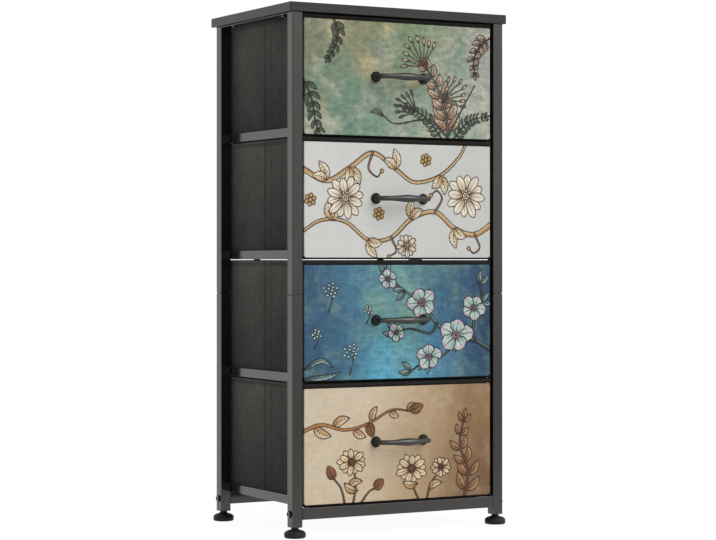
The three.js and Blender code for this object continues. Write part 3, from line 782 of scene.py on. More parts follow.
def paintForm(canvas, path, width, light, dark, shape=(1.0, 0.8), line=0.75, rib=0.0, veins=0.0, streaks=0.0,
              fade=0.35, lit=0.25, ruffle=0.0, tip=None):
    # A leaf, petal or stem along a path. Its half width is width·sin(pi·t^p)^q, or runs from one width to
    # another for a stem. The share of the dark colour is exp(-t / fade)·(1 + streaks·sin 11s) + lit·s, with
    # s across the form, and finer streaks over that. A tip's colour comes in over the last third.
    look, path = paintLook, np.asarray(path, float)
    path = smoothLine(path, look["pathSteps"]) if len(path) > 2 else path
    stem = isinstance(width, tuple)
    margin = (max(width) if stem else width) + look["margin"]
    window, distance, along, side, length = nearestOnPath(canvas, path, margin)
    if not len(distance):
        return
    inner = np.clip(along, 1e-4, 1 - 1e-4)
    if stem:
        half = width[0] + (width[1] - width[0]) * inner
        slope = np.zeros_like(half)
    else:
        power, blunt = shape
        half = width * np.sin(math.pi * inner**power) ** blunt
        other = np.clip(inner + look["slopeStep"], 0, 1 - 1e-5)
        slope = (width * np.sin(math.pi * other**power) ** blunt - half) / (look["slopeStep"] * length)
    if ruffle:
        broad, fine = look["ruffles"]
        wave = np.sin(inner * broad + side * 2.0) * inner + 0.5 * np.sin(inner * fine + side)
        half = half * (1 + ruffle * wave)
    beyond = (distance - half) / np.sqrt(1 + np.minimum(slope**2, look["steepest"]))
    inside = beyond < 0
    wide = np.maximum(half, look["thinnest"])
    across = np.clip(distance / wide, 0, 1) * side
    (beat, start), (fineBeat, fineStart, longer) = look["streak"], look["fineStreak"]
    shade = np.exp(-inner / fade) * (1 + streaks * np.sin(across * beat + start)) + lit * across
    shade += streaks * 0.5 * np.sin(across * fineBeat + fineStart) * np.exp(-inner / (longer * fade))
    shade = np.clip(shade, 0, 1)[:, None]
    fill = np.array(light, float) * (1 - shade) + np.array(dark, float) * shade
    if tip:
        blend = look["tipShare"] * np.clip((inner - look["tipStart"]) / look["tipRun"], 0, 1)[:, None]
        fill = fill * (1 - blend) + np.array(tip, float) * blend
    ink = np.abs(beyond) - line
    if rib:
        ink = np.where(inside, np.minimum(ink, distance - rib * (1 - inner)), ink)
    if veins:
        slant = inner * length - np.abs(across) * wide * look["veinSlant"]
        vein = np.abs((slant / veins) % 1 - 0.5) * veins * look["veinThin"] - look["veinInk"] * line
        first, last = look["veinEnds"]
        vein = np.where((inner > first) & (inner < last), vein, look["farInk"])
        ink = np.where(inside, np.minimum(ink, vein + 0.1), ink)
    layForm(canvas, window, inside, fill, ink)


def paintDots(canvas, places, radius, fill, line):
    # Discs: the nearest place gives the distance to the rim
    window, x, y = windowRound(canvas, np.asarray(places, float), radius + paintLook["margin"])
    if window.any():
        beyond = np.hypot(x, y).min(axis=1) - radius
        layForm(canvas, window, beyond < 0, np.array(fill, float), np.abs(beyond) - line)


def polar(place, radius, angle, squash=1.0):
    turn = math.radians(angle)
    return (place[0] + radius * math.cos(turn), place[1] + radius * math.sin(turn) * squash)


def paintFlower(canvas, place, radius, count, width, light, dark, heart, seeds, turn, squash=1.0, **form):
    # Petals round a place, every second one first so that its neighbours lap over it, then two rings of
    # seeds. The width is a share of the radius.
    petal = {"root": 0.07, "bend": 0.55, "sway": 5, "uneven": 0.07}
    seed = {"inner": 0.12, "outer": 0.24, "turn": 17, "size": 0.045, "least": 0.35, "line": 0.45}
    for number in [*range(0, count, 2), *range(1, count, 2)]:
        angle = turn + 360 * number / count
        reach = radius * (1 + petal["uneven"] * math.sin(number * 2.4 + turn))
        root = polar(place, radius * petal["root"], angle, squash)
        bend = polar(place, reach * petal["bend"], angle + petal["sway"] * math.sin(number * 3.1), squash)
        tip = polar(place, reach, angle, squash)
        paintForm(canvas, [root, bend, tip], radius * width, light, dark, **form)
    spots = [polar(place, radius * share, turn + start + 360 * k / seeds, squash)
             for share, start in ((seed["inner"], 0), (seed["outer"], seed["turn"])) for k in range(seeds)]
    paintDots(canvas, spots, radius * seed["size"] + seed["least"], heart, seed["line"])


def paintSprig(canvas, path, leaves, length, width, light, dark, spread=42.0, stem=None, stemWidth=(1.3, 0.5),
               paired=True, **form):
    # A stem with leaves along it that shorten and narrow towards its tip: length·(1 - 0.55t) and
    # width·(1 - 0.4t)
    look = {"first": 0.12, "last": 0.97, "shorter": 0.55, "narrower": 0.4, "uneven": 0.08, "bend": 7,
            "droop": 5, "tipLength": 0.5, "tipWidth": 0.6, "stemLine": 0.8, "lineSteps": 12}
    line = smoothLine(path, look["lineSteps"])
    step = np.diff(line, axis=0)
    total = np.concatenate([[0], np.cumsum(np.linalg.norm(step, axis=1))])
    for number in range(leaves):
        share = look["first"] + (look["last"] - look["first"]) * number / (leaves - 1)
        index = min(int(np.searchsorted(total, share * total[-1])), len(step) - 1)
        root = line[index]
        heading = math.degrees(math.atan2(step[index, 1], step[index, 0]))
        reach = length * (1 - look["shorter"] * share) * (1 + look["uneven"] * math.sin(number * 2.7))
        for way in (1, -1) if paired else (1,) if number % 2 else (-1,):
            angle = heading + way * spread
            leaf = [root, polar(root, reach * 0.5, angle + way * look["bend"]),
                    polar(root, reach, angle - way * look["droop"])]
            paintForm(canvas, leaf, width * (1 - look["narrower"] * share), light, dark, **form)
    paintForm(canvas, path, stemWidth, stem or dark, dark, line=form["line"] * look["stemLine"])
    heading = math.degrees(math.atan2(step[-1, 1], step[-1, 0]))
    leaf = [line[-1], polar(line[-1], length * look["tipLength"], heading)]
    paintForm(canvas, leaf, width * look["tipWidth"], light, dark, **form)


def seedHead(canvas, root, heading, length, count, spread, light, dark, tuft):
    # A fan of fine stalks, each with a long seed at its tip. The outer stalks are shorter.
    look = {"shorter": 0.18, "uneven": 0.1, "bend": 4, "stalk": (0.9, 0.5), "stalkLine": 0.35,
            "seedLength": 1.6, "seedWidth": 0.34, "lean": 6}
    for number in range(count):
        place = number / (count - 1)
        angle = heading + spread * (place - 0.5)
        reach = length * (1 - look["shorter"] * abs(2 * place - 1))
        reach *= 1 + look["uneven"] * math.sin(number * 5.1)
        middle, tip = polar(root, reach * 0.5, angle + look["bend"]), polar(root, reach, angle)
        seed = [tip, polar(tip, tuft * look["seedLength"], angle + look["lean"])]
        paintForm(canvas, [root, middle, tip], look["stalk"], light, dark, line=look["stalkLine"])
        paintForm(canvas, seed, tuft * look["seedWidth"], light, dark, line=0.5, rib=0.3)


def greenPrint(canvas):
    cream, brown, red = (222, 206, 172), (88, 50, 34), (98, 40, 30)
    moss, forest = (108, 122, 84), (34, 50, 36)
    leafy = dict(shape=(0.85, 0.75), line=0.6, rib=0.5, veins=4.2, fade=0.5, lit=0.35)
    for path, leaves, length, width, light, dark, spread in (
        ([(-186, 96), (-168, 60), (-160, 20), (-148, -6)], 7, 26, 4.6, moss, forest, 42),
        ([(182, 176), (160, 160), (148, 136), (150, 112)], 6, 22, 5.4, cream, brown, 50),
        ([(-128, 196), (-118, 172), (-122, 150), (-136, 128)], 6, 20, 4.4, moss, forest, 42),
    ):
        paintSprig(canvas, path, leaves, length, width, light, dark, spread, **leafy)
    for path in ([(86, -4), (52, 34), (8, 52)], [(104, -4), (138, 30), (176, 40)]):
        paintSprig(canvas, path, 12, 18, 2.3, moss, forest, 58, line=0.45, fade=0.6)
    stalk = [(96, -4), (92, 40), (76, 84), (52, 120)]
    paintSprig(canvas, stalk, 7, 40, 8.6, cream, red, 46, moss, (2.2, 1.0), streaks=0.45,
               **{**leafy, "fade": 0.42, "lit": 0.2})
    seedHead(canvas, (50, 122), 122, 40, 9, 120, cream, brown, 9)
    seedHead(canvas, (84, 62), 30, 44, 7, 80, cream, red, 8)
    seedHead(canvas, (34, 44), 152, 34, 7, 90, moss, forest, 7)
    paintDots(canvas, [(50, 122), (47, 126), (54, 126)], 2.6, red, 0.6)
    for path in ([(100, -4), (60, 30), (-6, 22), (-30, 34)], [(92, -4), (130, 60), (150, 92)]):
        paintForm(canvas, path, (1.5, 0.4), moss, forest, line=0.45)
    paintForm(canvas, [(-30, 34), (-44, 42), (-56, 40)], 4.2, moss, forest, rib=0.5, line=0.5)


def greyPrint(canvas):
    ivory, gold, umber, seed = (238, 231, 212), (180, 142, 82), (108, 68, 34), (230, 214, 178)
    leafy = dict(shape=(0.8, 0.8), line=0.6, rib=0.6, veins=6.0, fade=0.45, lit=0.3)
    vines = [[(-190, 150), (-140, 128), (-96, 150), (-52, 176), (-8, 150), (30, 128), (80, 140),
              (118, 172), (134, 200)],
             [(190, 62), (150, 40), (110, 50), (70, 78), (24, 66), (-16, 34), (-60, 30), (-104, 60),
              (-150, 62), (-190, 40)]]
    for vine in vines:
        paintForm(canvas, vine, (4.2, 2.0), ivory, gold, line=0.7, lit=0.8, fade=3.0)
    twigs = [((-140, 129), 100, 1), ((-96, 150), -40, -1), ((-8, 150), 80, 1), ((80, 140), -60, -1),
             ((110, 50), -100, 1), ((24, 66), 100, -1), ((-60, 30), -75, 1), ((-128, 63), 118, -1)]
    for root, heading, way in twigs:
        for turn, reach in ((0, 34), (way * 52, 27)):
            leaf = [root, polar(root, reach * 0.5, heading + turn),
                    polar(root, reach, heading + turn + way * 14)]
            paintForm(canvas, leaf, 8.2, ivory, gold, **leafy)
    curls = [[(-52, 176), (-60, 150), (-44, 136), (-34, 146)], [(70, 78), (84, 100), (74, 114), (62, 106)],
             [(-16, 34), (-6, 12), (-20, 2)], [(150, 40), (160, 18), (148, 8), (138, 16)]]
    for curl in curls:
        paintForm(canvas, curl, (1.9, 0.6), ivory, umber, line=0.5, lit=0.6, fade=2.0)
        paintDots(canvas, [curl[-1]], 3.4, gold, 0.6)
    for place, radius, turn in (((-104, 100), 36, 10), ((132, 106), 38, 24), ((14, 20), 20, 5)):
        paintFlower(canvas, place, radius, 12, 0.2, ivory, umber, seed, 8, turn, shape=(1.35, 0.6), line=0.6,
                    fade=0.3, streaks=0.5, lit=0.08, rib=0.4)
    for root in ((52, 166), (-170, 96), (-40, 74)):
        berries = [polar(root, 7.5, 60 * k + 20) for k in range(6)] + [root]
        paintDots(canvas, berries, 3.6, gold, 0.55)


def bluePrint(canvas):
    snow, teal, blush, rose = (192, 208, 198), (44, 84, 86), (196, 160, 182), (206, 150, 176)
    pale, leafDark, bark = (176, 200, 194), (30, 64, 68), (20, 34, 42)
    leafy = dict(shape=(0.8, 0.8), line=0.6, rib=0.5, veins=4.5, fade=0.5, lit=0.35)
    branches = [([(190, 40), (150, 62), (112, 66), (74, 92), (40, 132), (10, 148), (-26, 176)], (4.0, 1.0)),
                ([(112, 66), (90, 40), (54, 30), (22, 12)], (2.2, 0.7)),
                ([(74, 92), (60, 76), (20, 84), (-10, 76)], (2.0, 0.6)),
                ([(150, 62), (148, 96), (164, 128), (160, 160)], (2.2, 0.8))]
    for branch, width in branches:
        paintForm(canvas, branch, width, pale, bark, line=0.7, lit=0.7, fade=0.8)
    twigs = [((10, 148), 200), ((-10, 76), 150), ((54, 30), 250), ((22, 12), 160), ((160, 160), 60),
             ((164, 128), 20), ((-26, 176), 100), ((112, 66), -70)]
    for root, heading in twigs:
        for turn in (-24, 24):
            leaf = [root, polar(root, 11, heading + turn * 1.3), polar(root, 23, heading + turn)]
            paintForm(canvas, leaf, 4.8, pale, leafDark, **leafy)
    blossoms = [((112, 72), 33, 8, 0.86), ((44, 128), 28, 40, 0.92), ((148, 118), 24, 62, 0.9),
                ((58, 36), 25, 20, 0.85), ((-22, 168), 18, 30, 0.9), ((-6, 78), 17, 50, 0.9)]
    for place, radius, turn, squash in blossoms:
        paintFlower(canvas, place, radius, 5, 0.42, snow, teal, rose, 7, turn, squash, shape=(1.35, 0.5),
                    line=0.75, fade=0.3, streaks=0.9, lit=0.16, ruffle=0.09, rib=0.5, tip=blush)
    clusters = [((-132, 150), 12, 15), ((-92, 48), 13, 16), ((-158, 78), 8, 10), ((-60, 116), 7, 9)]
    for root, count, reach in clusters:
        stalk = [(root[0] - 4, root[1] - reach * 2.4), (root[0] + 3, root[1] - reach), root]
        paintForm(canvas, stalk, (0.9, 0.5), pale, leafDark, line=0.4)
        spots = [polar(root, reach * math.sqrt((k + 0.5) / count), 137.5 * k, 0.8) for k in range(count)]
        paintDots(canvas, spots, 2.3, snow, 0.5)
    for path in ([(-181, 20), (-150, 34), (-128, 22)], [(-181, 4), (-140, 6), (-112, 14)]):
        paintForm(canvas, path, 4.6, pale, leafDark, **leafy)


def sandPrint(canvas):
    cream, tan, amber, sepia = (232, 214, 182), (190, 152, 106), (166, 112, 58), (98, 56, 28)
    leafy = dict(shape=(0.8, 0.8), line=0.65, rib=0.6, veins=5.5, fade=0.5, lit=0.35, streaks=0.15)
    bough = [(-190, 120), (-150, 132), (-104, 122), (-58, 132), (-16, 152), (22, 150)]
    paintSprig(canvas, bough, 6, 40, 8.5, cream, amber, 48, amber, (3.0, 1.0), False, **leafy)
    branch = [(128, -6), (136, 44), (120, 88), (128, 132)]
    paintSprig(canvas, branch, 6, 38, 8.0, tan, sepia, 44, sepia, (2.8, 1.0), **leafy)
    stems = [[(40, -6), (28, 20), (26, 46)], [(52, -6), (62, 24), (78, 44)],
             [(-104, -6), (-112, 24), (-126, 42)], [(-90, -6), (-84, 34), (-92, 62)],
             [(-78, -6), (-60, 16), (-48, 22)]]
    for stem in stems:
        paintForm(canvas, stem, (1.6, 1.0), cream, sepia, line=0.6, lit=0.6, fade=1.5)
    daisies = [((24, 52), 30, 4, 0.82), ((82, 52), 20, 18, 0.86), ((-92, 68), 27, 12, 0.8)]
    for place, radius, turn, squash in daisies:
        paintFlower(canvas, place, radius, 13, 0.19, cream, amber, sepia, 10, turn, squash, shape=(1.4, 0.6),
                    line=0.6, fade=0.35, streaks=0.6, lit=0.15, rib=0.4)
    buds = [((-126, 42), 118, 24), ((-48, 22), 40, 22), ((22, 150), 20, 26), ((-60, 131), -70, 24)]
    for root, heading, reach in buds:
        paintForm(canvas, [root, polar(root, reach, heading)], 8.6, amber, sepia, shape=(0.7, 0.6), line=0.65,
                  rib=0.7, veins=4.0, fade=0.7, streaks=0.5, lit=0.3)
    for root, heading in (((-98, 26), 20), ((34, 26), 170), ((58, 16), 20), ((-82, 20), 150)):
        leaf = [root, polar(root, 14, heading + 18), polar(root, 28, heading)]
        paintForm(canvas, leaf, 6.4, cream, amber, **leafy)


# Each print's painter, ink, cloudy patches and wash spots, with a place, a radius and a colour for each spot
printLooks = {
    1: {"paint": greenPrint, "ink": (22, 14, 12), "warm": (0.53, 0.50, 0.38), "cool": (0.11, 0.225, 0.16),
        "patch": 0.60, "grain": 0.44, "scale": 19.0, "brush": 0.20,
        "washes": [
            (-160, 150, 80, 120, 124, 100), (-80, 170, 60, 138, 136, 108), (10, 165, 60, 114, 132, 92),
            (90, 165, 60, 142, 148, 122), (160, 130, 60, 178, 172, 172), (-110, 70, 60, 98, 130, 108),
            (-20, 60, 60, 146, 150, 132), (80, 90, 60, 130, 150, 132), (150, 60, 60, 170, 168, 156),
            (-160, 10, 60, 134, 142, 128), (-60, 15, 50, 104, 138, 120), (60, 10, 60, 150, 160, 146),
            (160, 5, 50, 158, 168, 156), (-62, 118, 20, 206, 164, 108), (-120, 178, 16, 204, 164, 104),
            (-22, 178, 13, 200, 166, 104), (28, 96, 12, 198, 160, 108), (-148, 44, 13, 202, 164, 112),
            (126, 52, 26, 190, 180, 186), (118, 124, 20, 96, 122, 112), (-34, 140, 14, 132, 122, 138)]},
    2: {"paint": greyPrint, "ink": (60, 34, 18), "warm": (0.66, 0.65, 0.62), "cool": (0.58, 0.59, 0.59),
        "patch": 0.3, "grain": 0.04, "scale": 14.0, "brush": 0.05,
        "washes": [
            (-170, 100, 120, 205, 204, 200), (0, 100, 120, 201, 201, 197), (170, 100, 120, 193, 195, 189)]},
    3: {"paint": bluePrint, "ink": (8, 16, 24), "warm": (0.22, 0.36, 0.27), "cool": (0.018, 0.09, 0.20),
        "patch": 0.42, "grain": 0.38, "scale": 17.0, "brush": 0.22,
        "washes": [
            (-165, 140, 80, 46, 76, 102), (-80, 160, 60, 72, 126, 150), (10, 150, 60, 116, 160, 154),
            (95, 165, 60, 50, 94, 120), (165, 120, 80, 26, 52, 76), (-120, 60, 60, 50, 96, 122),
            (-20, 80, 60, 96, 154, 164), (80, 80, 60, 60, 112, 138), (-150, 10, 60, 38, 72, 94),
            (-30, 10, 60, 84, 164, 196), (60, 20, 60, 68, 144, 176), (155, 20, 60, 32, 62, 88),
            (24, 108, 26, 156, 176, 120), (-46, 128, 20, 140, 172, 130), (96, 44, 22, 96, 120, 168)]},
    4: {"paint": sandPrint, "ink": (54, 28, 14), "warm": (0.47, 0.30, 0.15), "cool": (0.64, 0.55, 0.42),
        "patch": 0.22, "grain": 0.10, "scale": 15.0, "brush": 0.10,
        "washes": [
            (-165, 120, 90, 202, 187, 163), (-60, 150, 80, 204, 188, 164), (50, 150, 70, 178, 152, 118),
            (150, 150, 70, 132, 103, 68), (-80, 40, 80, 200, 183, 157), (40, 40, 70, 172, 145, 110),
            (150, 40, 70, 110, 82, 52)]},
}
coverLook = {
    "roughness": 0.62, "specular": 0.35, "weave": (0.0009, 0.1), "bump": 0.00006, "covered": 0.25,
    "coolScale": 1.3, "patchRange": (0.47, 0.68), "grainScale": 115.0, "grainRange": (0.25, 0.75),
    "wobbleScale": 420.0, "wobbleRange": (0.3, 0.7), "wobble": 0.3, "noiseRoughness": 0.62,
    "strokes": ((21.0, 1.0, 330.0), (360.0, 1.0, 24.0)), "strokeNoise": (5.0, 0.7, 0.6),
    "strokeRange": (0.3, 0.7), "inkSoft": 0.65, "inkStrength": 0.95,
    # Near-black painted shade for the cover's sides and back, where the gaps beside the front lie in shade
    "wrapped": (0.006, 0.0055, 0.005), "wrappedShare": 0.9,
}


def makePrint(number):
    # The painted colour with cloudy patches, weaker where a motif covers it, grain and brush strokes. Ink
    # comes in where the distance to the nearest ink line is under 0.65, and is full at 0 and less. The
    # cover's sides and back are painted near-black, a painted shade of the gaps round the front. Each print
    # takes places of its own in the noises.
    look = {**coverLook, **printLooks[number], "colour": printLooks[number]["warm"]}
    material, tree, principled = newMaterial(f"print{number}", look)
    bare = mapRange(tree, attributeNode(tree, "cover"), 0.0, 1.0, 1.0, look["covered"])
    noises = {}
    for key, scale, detail, stretch in (("warm", look["scale"], 6.0, 1.25),
                                        ("cool", look["scale"] * look["coolScale"], 6.0, 1.0),
                                        ("grain", look["grainScale"], 6.0, 0.6),
                                        ("wobble", look["wobbleScale"], 2.0, 1.0)):
        moved = placeNode(tree, (stretch, 1.0, 1.0), (number * 3.0 + scale, 0.0, number * 1.7))
        noises[key] = noiseNode(tree, moved, scale, detail, look["noiseRoughness"])
    colour = attributeNode(tree, "printColour", "Color")
    for key in ("warm", "cool"):
        share = product(tree, mapRange(tree, noises[key], *look["patchRange"], 0.0, look["patch"]), bare)
        colour = mixColours(tree, share, colour, (*look[key], 1))
    tone = mapRange(tree, noises["grain"], *look["grainRange"], 1 - look["grain"], 1 + look["grain"])
    brush = look["brush"] / 2
    for stretch in look["strokes"]:
        moved = placeNode(tree, stretch, (number * 5.0, 0.0, number * 2.3))
        stroke = noiseNode(tree, moved, 1.0, *look["strokeNoise"])
        tone = product(tree, tone, mapRange(tree, stroke, *look["strokeRange"], 1 - brush, 1 + brush))
    colour = tinted(tree, colour, tone)
    wobble = mapRange(tree, noises["wobble"], *look["wobbleRange"], -look["wobble"], look["wobble"])
    distance = mathNode(tree, "ADD", attributeNode(tree, "ink"), wobble)
    strength = mapRange(tree, distance, 0.0, look["inkSoft"], look["inkStrength"], 0.0)
    ink = tuple((value / 255) ** 2.2 for value in look["ink"])
    colour = mixColours(tree, strength, colour, (*ink, 1))
    # Painted shade on the cover's sides and back
    wrapped = product(tree, attributeNode(tree, "wrapped"), look["wrappedShare"])
    colour = mixColours(tree, wrapped, colour, (*look["wrapped"], 1))
    threads = placeGroup(tree, weave, look["weave"])
    joinShader(tree, principled, colour, threads["Height"], look["bump"])
    return material


def frontPlaces(length):
    # Even steps, with finer ones along both edges
    edge, inner = np.array(frontLook["edgePlaces"]), frontLook["evenFrom"]
    even = np.linspace(inner, length - inner, int((length - 2 * inner) / frontLook["step"]) + 1)
    return np.concatenate([edge, even, length - edge[::-1]])


def frontGrid(width, height):
    # Each corner square is mapped to a round one by (a, b)·max(a, b) / hypot(a, b), with a and b measured
    # from the centre of the corner's arc
    across, up = np.meshgrid(frontPlaces(width) - width / 2, frontPlaces(height))
    for low in (True, False):
        radius = frontLook["lowCorner"] if low else frontLook["topCorner"]
        a = np.clip(np.abs(across) - (width / 2 - radius), 0, None)
        b = np.clip(radius - up if low else up - (height - radius), 0, None)
        share = np.maximum(a, b) / np.maximum(np.hypot(a, b), 1e-9)
        share = np.where((a > 0) & (b > 0), share, 1.0)
        across = np.sign(across) * (np.abs(across) - a + a * share)
        up = up + (1 - share) * b * (1 if low else -1)
    return across, up


def makeFront(number):
    # One closed sheet: the printed face, whose edge falls back by r - sqrt(r² - (r - e)²) at e from the rim,
    # and the sides and the back. The face carries the print as attributes of its points.
    name = f"drawer_{number}_front_board"
    low, high = (corner / millimetre - (0, 0, frontLook["drop"][number]) for corner in boxOf(name))
    high[2] += frontLook["rise"]
    across, up = frontGrid(high[0] - low[0], high[2] - low[2])
    rows, columns = across.shape
    canvas = newCanvas(across, up, printLooks[number]["washes"])
    printLooks[number]["paint"](canvas)
    radius, edge = frontLook["edgeRadius"], frontLook["edgePlaces"]
    toSide, toEnd = (np.minimum(np.arange(count), np.arange(count)[::-1]) for count in (columns, rows))
    fromEdge = np.interp(np.minimum(toSide[None, :], toEnd[:, None]), np.arange(len(edge)), edge)
    back = radius - np.sqrt(radius**2 - np.clip(radius - fromEdge, 0, radius) ** 2)
    face = np.stack([across, low[1] + back, up + low[2]], axis=-1)
    index = np.arange(rows * columns).reshape(rows, columns)
    quads = np.stack([index[:-1, :-1], index[:-1, 1:], index[1:, 1:], index[1:, :-1]], axis=-1)
    loop = np.concatenate([index[0, :-1], index[:-1, -1], index[-1, :0:-1], index[:0:-1, 0]])
    rim = face.reshape(-1, 3)[loop]
    away = rim - (0, 0, (low[2] + high[2]) / 2)
    rings = []
    for depth, inset in frontLook["backRings"]:
        ring = rim.copy()
        ring[:, 1] = low[1] + radius + (high[1] - low[1] - radius) * depth
        for part in (0, 2):
            ring[:, part] -= np.sign(away[:, part]) * np.minimum(inset, np.abs(away[:, part]))
        rings.append(ring)
    points = np.vstack([face.reshape(-1, 3), *rings]) * millimetre
    rims = np.vstack([loop, index.size + np.arange(len(rings) * len(loop)).reshape(-1, len(loop))])
    following = np.roll(rims, -1, axis=1)
    sides = np.stack([rims[:-1], rims[1:], following[1:], following[:-1]], axis=-1)
    faces = np.vstack([quads.reshape(-1, 4), sides.reshape(-1, 4)]).tolist() + [rims[-1][::-1].tolist()]
    made = makePiece(f"drawer_{number}_front_piece", points, faces, makePrint(number), f"drawer_{number}",
                     name)
    carry = np.concatenate([index.ravel(), np.tile(loop, len(rings))])
    colour = np.clip(canvas["colour"].reshape(-1, 3)[carry] / 255, 0, 1)
    linear = np.where(colour <= 0.04045, colour / 12.92, ((colour + 0.055) / 1.055) ** 2.4)
    colours = made.data.attributes.new("printColour", "FLOAT_COLOR", "POINT")
    colours.data.foreach_set("color", np.column_stack([linear, np.ones(len(linear))]).ravel())
    addValues(made, ink=canvas["ink"].ravel()[carry], cover=canvas["cover"].ravel()[carry],
              wrapped=(np.arange(len(carry)) >= index.size).astype(float))


for number in range(1, 5):
    makeFront(number)
print("printed fronts made")


# Handles, each a bow that swells in the middle, on two stepped rosettes
handleLook = {
    "spacing": 0.092, "reach": 0.030, "endRadius": 0.0042, "middleRadius": 0.0064, "swellLength": 0.066,
    "halfShares": [(1, 0.02), (1, 0.35), (1, 0.58), (0.965, 0.71), (0.84, 0.81), (0.6, 0.9), (0.3, 0.97)],
    "lineSteps": 8, "bowSteps": 20, "rosetteSteps": 40,
    "rosette": [(0.0, 0.0), (0.0088, 0.0), (0.0093, 0.0004), (0.0094, 0.0012), (0.0091, 0.0021),
                (0.0085, 0.0023), (0.0081, 0.0020), (0.0078, 0.0010), (0.0070, 0.0010), (0.0068, 0.0022),
                (0.0064, 0.0036), (0.0056, 0.0044), (0.0049, 0.0047), (0.0046, 0.0056), (0.0044, 0.0085),
                (0.0, 0.0085)],
    # Share of painted shade on each ring of a rosette, darkest in its groove and at its foot, lightest on its
    # lips
    "rosetteShade": (1, 1, 0.6, 0.4, 0.3, 0.7, 1, 1, 1, 1, 0.8, 0.4, 0.3, 0.8, 0.8, 0.3),
}


def bowSurface(mount, height):
    # Circles of radius r(x) square to the centre line; r = r0 + (r1 - r0)(0.5 + 0.5 cos(pi·|x| / half swell))
    half, reach, shares = handleLook["spacing"] / 2, handleLook["reach"], handleLook["halfShares"]
    knots = [(-across * half, -out * reach) for across, out in shares] + [(0, -reach)]
    knots += [(across * half, -out * reach) for across, out in shares[::-1]]
    line = smoothLine(knots, handleLook["lineSteps"])
    tangent = np.gradient(line, axis=0)
    tangent /= np.linalg.norm(tangent, axis=1)[:, None]
    share = np.clip(np.abs(line[:, 0]) / (handleLook["swellLength"] / 2), 0, 1)
    swell = handleLook["middleRadius"] - handleLook["endRadius"]
    radius = handleLook["endRadius"] + swell * (0.5 + 0.5 * np.cos(math.pi * share))
    angles = np.linspace(0, 2 * math.pi, handleLook["bowSteps"], endpoint=False)
    across = radius[:, None] * np.cos(angles)
    points = np.zeros((len(line), len(angles), 3))
    points[..., 0] = line[:, 0, None] + tangent[:, 1, None] * across
    points[..., 1] = line[:, 1, None] - tangent[:, 0, None] * across + mount
    points[..., 2] = radius[:, None] * np.sin(angles) + height
    return points.reshape(-1, 3), tubeFaces(len(line), len(angles))


def makeHandle(number):
    # The bow, and at each end of it a rosette turned about Y
    name = f"drawer_{number}_handle"
    low, high = boxOf(name)
    mount, height = high[1], (low[2] + high[2]) / 2
    points, faces = bowSurface(mount, height)
    accent = np.zeros(len(points))
    steps = handleLook["rosetteSteps"]
    outline = [(radius, -rise) for radius, rise in handleLook["rosette"]]
    for x in (-handleLook["spacing"] / 2, handleLook["spacing"] / 2):
        rosette, rosetteFaces = turnedPiece(outline, (x, mount, height), steps, "Y")
        faces += [[corner + len(points) for corner in face[::-1]] for face in rosetteFaces]
        points = np.vstack([points, rosette.reshape(-1, 3)])
        accent = np.append(accent, np.repeat(handleLook["rosetteShade"], steps))
    made = makePiece(f"drawer_{number}_handle_piece", points, faces, materials["handle"], f"drawer_{number}",
                     name)
    addValues(made, accent=accent)


for number in range(1, 5):
    makeHandle(number)
print("handles made")

# The other screws and the bottom boards keep the shapes of the CAD
cadLooks = {"_strap_screw": "strapScrew", "_handle_screw": "fastener", "_bottom_board": "bottomBoard"}
for name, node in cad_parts.items():
    for ending, key in cadLooks.items():
        if name.endswith(ending):
            node.data.materials.clear()
            node.data.materials.append(materials[key])


# Floor, world and lamps
lightLook = {
    "world": 0.42, "worldSeen": 1.02, "worldFront": 0.98, "worldRear": 0.40, "worldAlong": (-0.8, 0.5),
    "worldRight": 0.4, "rightAcross": (0.42, 0.62),
    "cornerShade": 0.95, "cornerAcross": (0.1, 0.4), "cornerAlong": (0.3, 0.6), "cornerUp": (0.16, 0.34),
    "floorReach": 9, "floorFront": 0.70, "floorRear": 1.38, "floorAlong": (-1.5, 0.6), "floorGlow": 1.06,
    "glowShare": 0.9,
    "rear": {"toLamp": (-42, 25), "strength": 0.9, "angle": 70},
    "front": {"toLamp": (150, 35), "strength": 1.9, "angle": 50},
}


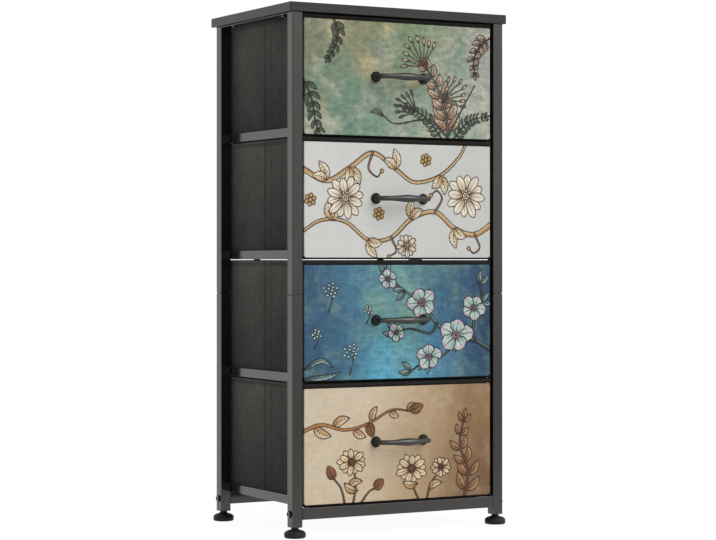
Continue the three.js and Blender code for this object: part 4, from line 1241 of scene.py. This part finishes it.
def makeFloor():
    # Most of the floor's look is a glow that only camera and glossy rays see, the latter stronger to the rear
    x = lightLook["floorReach"]
    floor = bpy.data.objects.new("floor", bpy.data.meshes.new("floor"))
    floor.data.from_pydata([(-x, -x, 0), (x, -x, 0), (x, x, 0), (-x, x, 0)], [], [(0, 1, 2, 3)])
    bpy.context.scene.collection.objects.link(floor)
    material, tree, principled = newMaterial("floorWhite", {"colour": (0.8, 0.8, 0.8), "roughness": 0.9})
    floor.data.materials.append(material)
    rays = addNode(tree, "ShaderNodeLightPath").outputs
    along = partsNode(tree, placeNode(tree))[1]
    gloss = mapRange(tree, along, *lightLook["floorAlong"], lightLook["floorFront"], lightLook["floorRear"])
    level = mapRange(tree, rays["Is Glossy Ray"], 0.0, 1.0, lightLook["floorGlow"], gloss)
    glow = addNode(tree, "ShaderNodeEmission", {"Color": (1, 1, 1, 1), "Strength": level}).outputs[0]
    seen = mathNode(tree, "MAXIMUM", rays["Is Camera Ray"], rays["Is Glossy Ray"])
    share = product(tree, seen, lightLook["glowShare"])
    mixed = addNode(tree, "ShaderNodeMixShader", {0: share, 1: principled.outputs[0], 2: glow}).outputs[0]
    tree.links.new(mixed, tree.nodes["Material Output"].inputs["Surface"])


def makeWorld():
    # Glossy rays see it darker to the rear, brighter to the right, and dark low in the rear right corner
    world = bpy.data.worlds.new("studio")
    bpy.context.scene.world = world
    world.use_nodes = True
    tree = world.node_tree
    rays = addNode(tree, "ShaderNodeLightPath").outputs
    across, along, up = partsNode(tree, addNode(tree, "ShaderNodeTexCoord").outputs["Generated"])
    gloss = mapRange(tree, along, *lightLook["worldAlong"], lightLook["worldFront"], lightLook["worldRear"])
    right = mapRange(tree, across, *lightLook["rightAcross"], 0.0, lightLook["worldRight"])
    gloss = mathNode(tree, "ADD", gloss, right)
    corner = product(tree, mapRange(tree, across, *lightLook["cornerAcross"], 0.0, lightLook["cornerShade"]),
                     mapRange(tree, along, *lightLook["cornerAlong"], 0.0, 1.0),
                     mapRange(tree, up, *lightLook["cornerUp"], 1.0, 0.0))
    gloss = product(tree, gloss, mathNode(tree, "SUBTRACT", 1.0, corner))
    strength = mapRange(tree, rays["Is Glossy Ray"], 0.0, 1.0, lightLook["world"], gloss)
    strength = mapRange(tree, rays["Is Camera Ray"], 0.0, 1.0, strength, lightLook["worldSeen"])
    background = tree.nodes["Background"]
    background.inputs["Color"].default_value = (1, 1, 1, 1)
    tree.links.new(strength, background.inputs["Strength"])


def makeSun(name, toLamp, strength, angle):
    # The way to the lamp is an azimuth and an elevation in degrees
    lamp = bpy.data.objects.new(name, bpy.data.lights.new(name, "SUN"))
    lamp.data.energy = strength
    lamp.data.angle = math.radians(angle)
    azimuth, elevation = (math.radians(value) for value in toLamp)
    x, y = math.sin(azimuth) * math.cos(elevation), math.cos(azimuth) * math.cos(elevation)
    lamp.rotation_euler = (math.pi / 2 - elevation, 0, math.pi - azimuth)
    lamp.location = (x * 2, y * 2, 2 * math.sin(elevation))
    bpy.context.scene.collection.objects.link(lamp)


makeFloor()
makeWorld()
makeSun("rearLamp", **lightLook["rear"])
makeSun("frontLamp", **lightLook["front"])
print("lights placed")
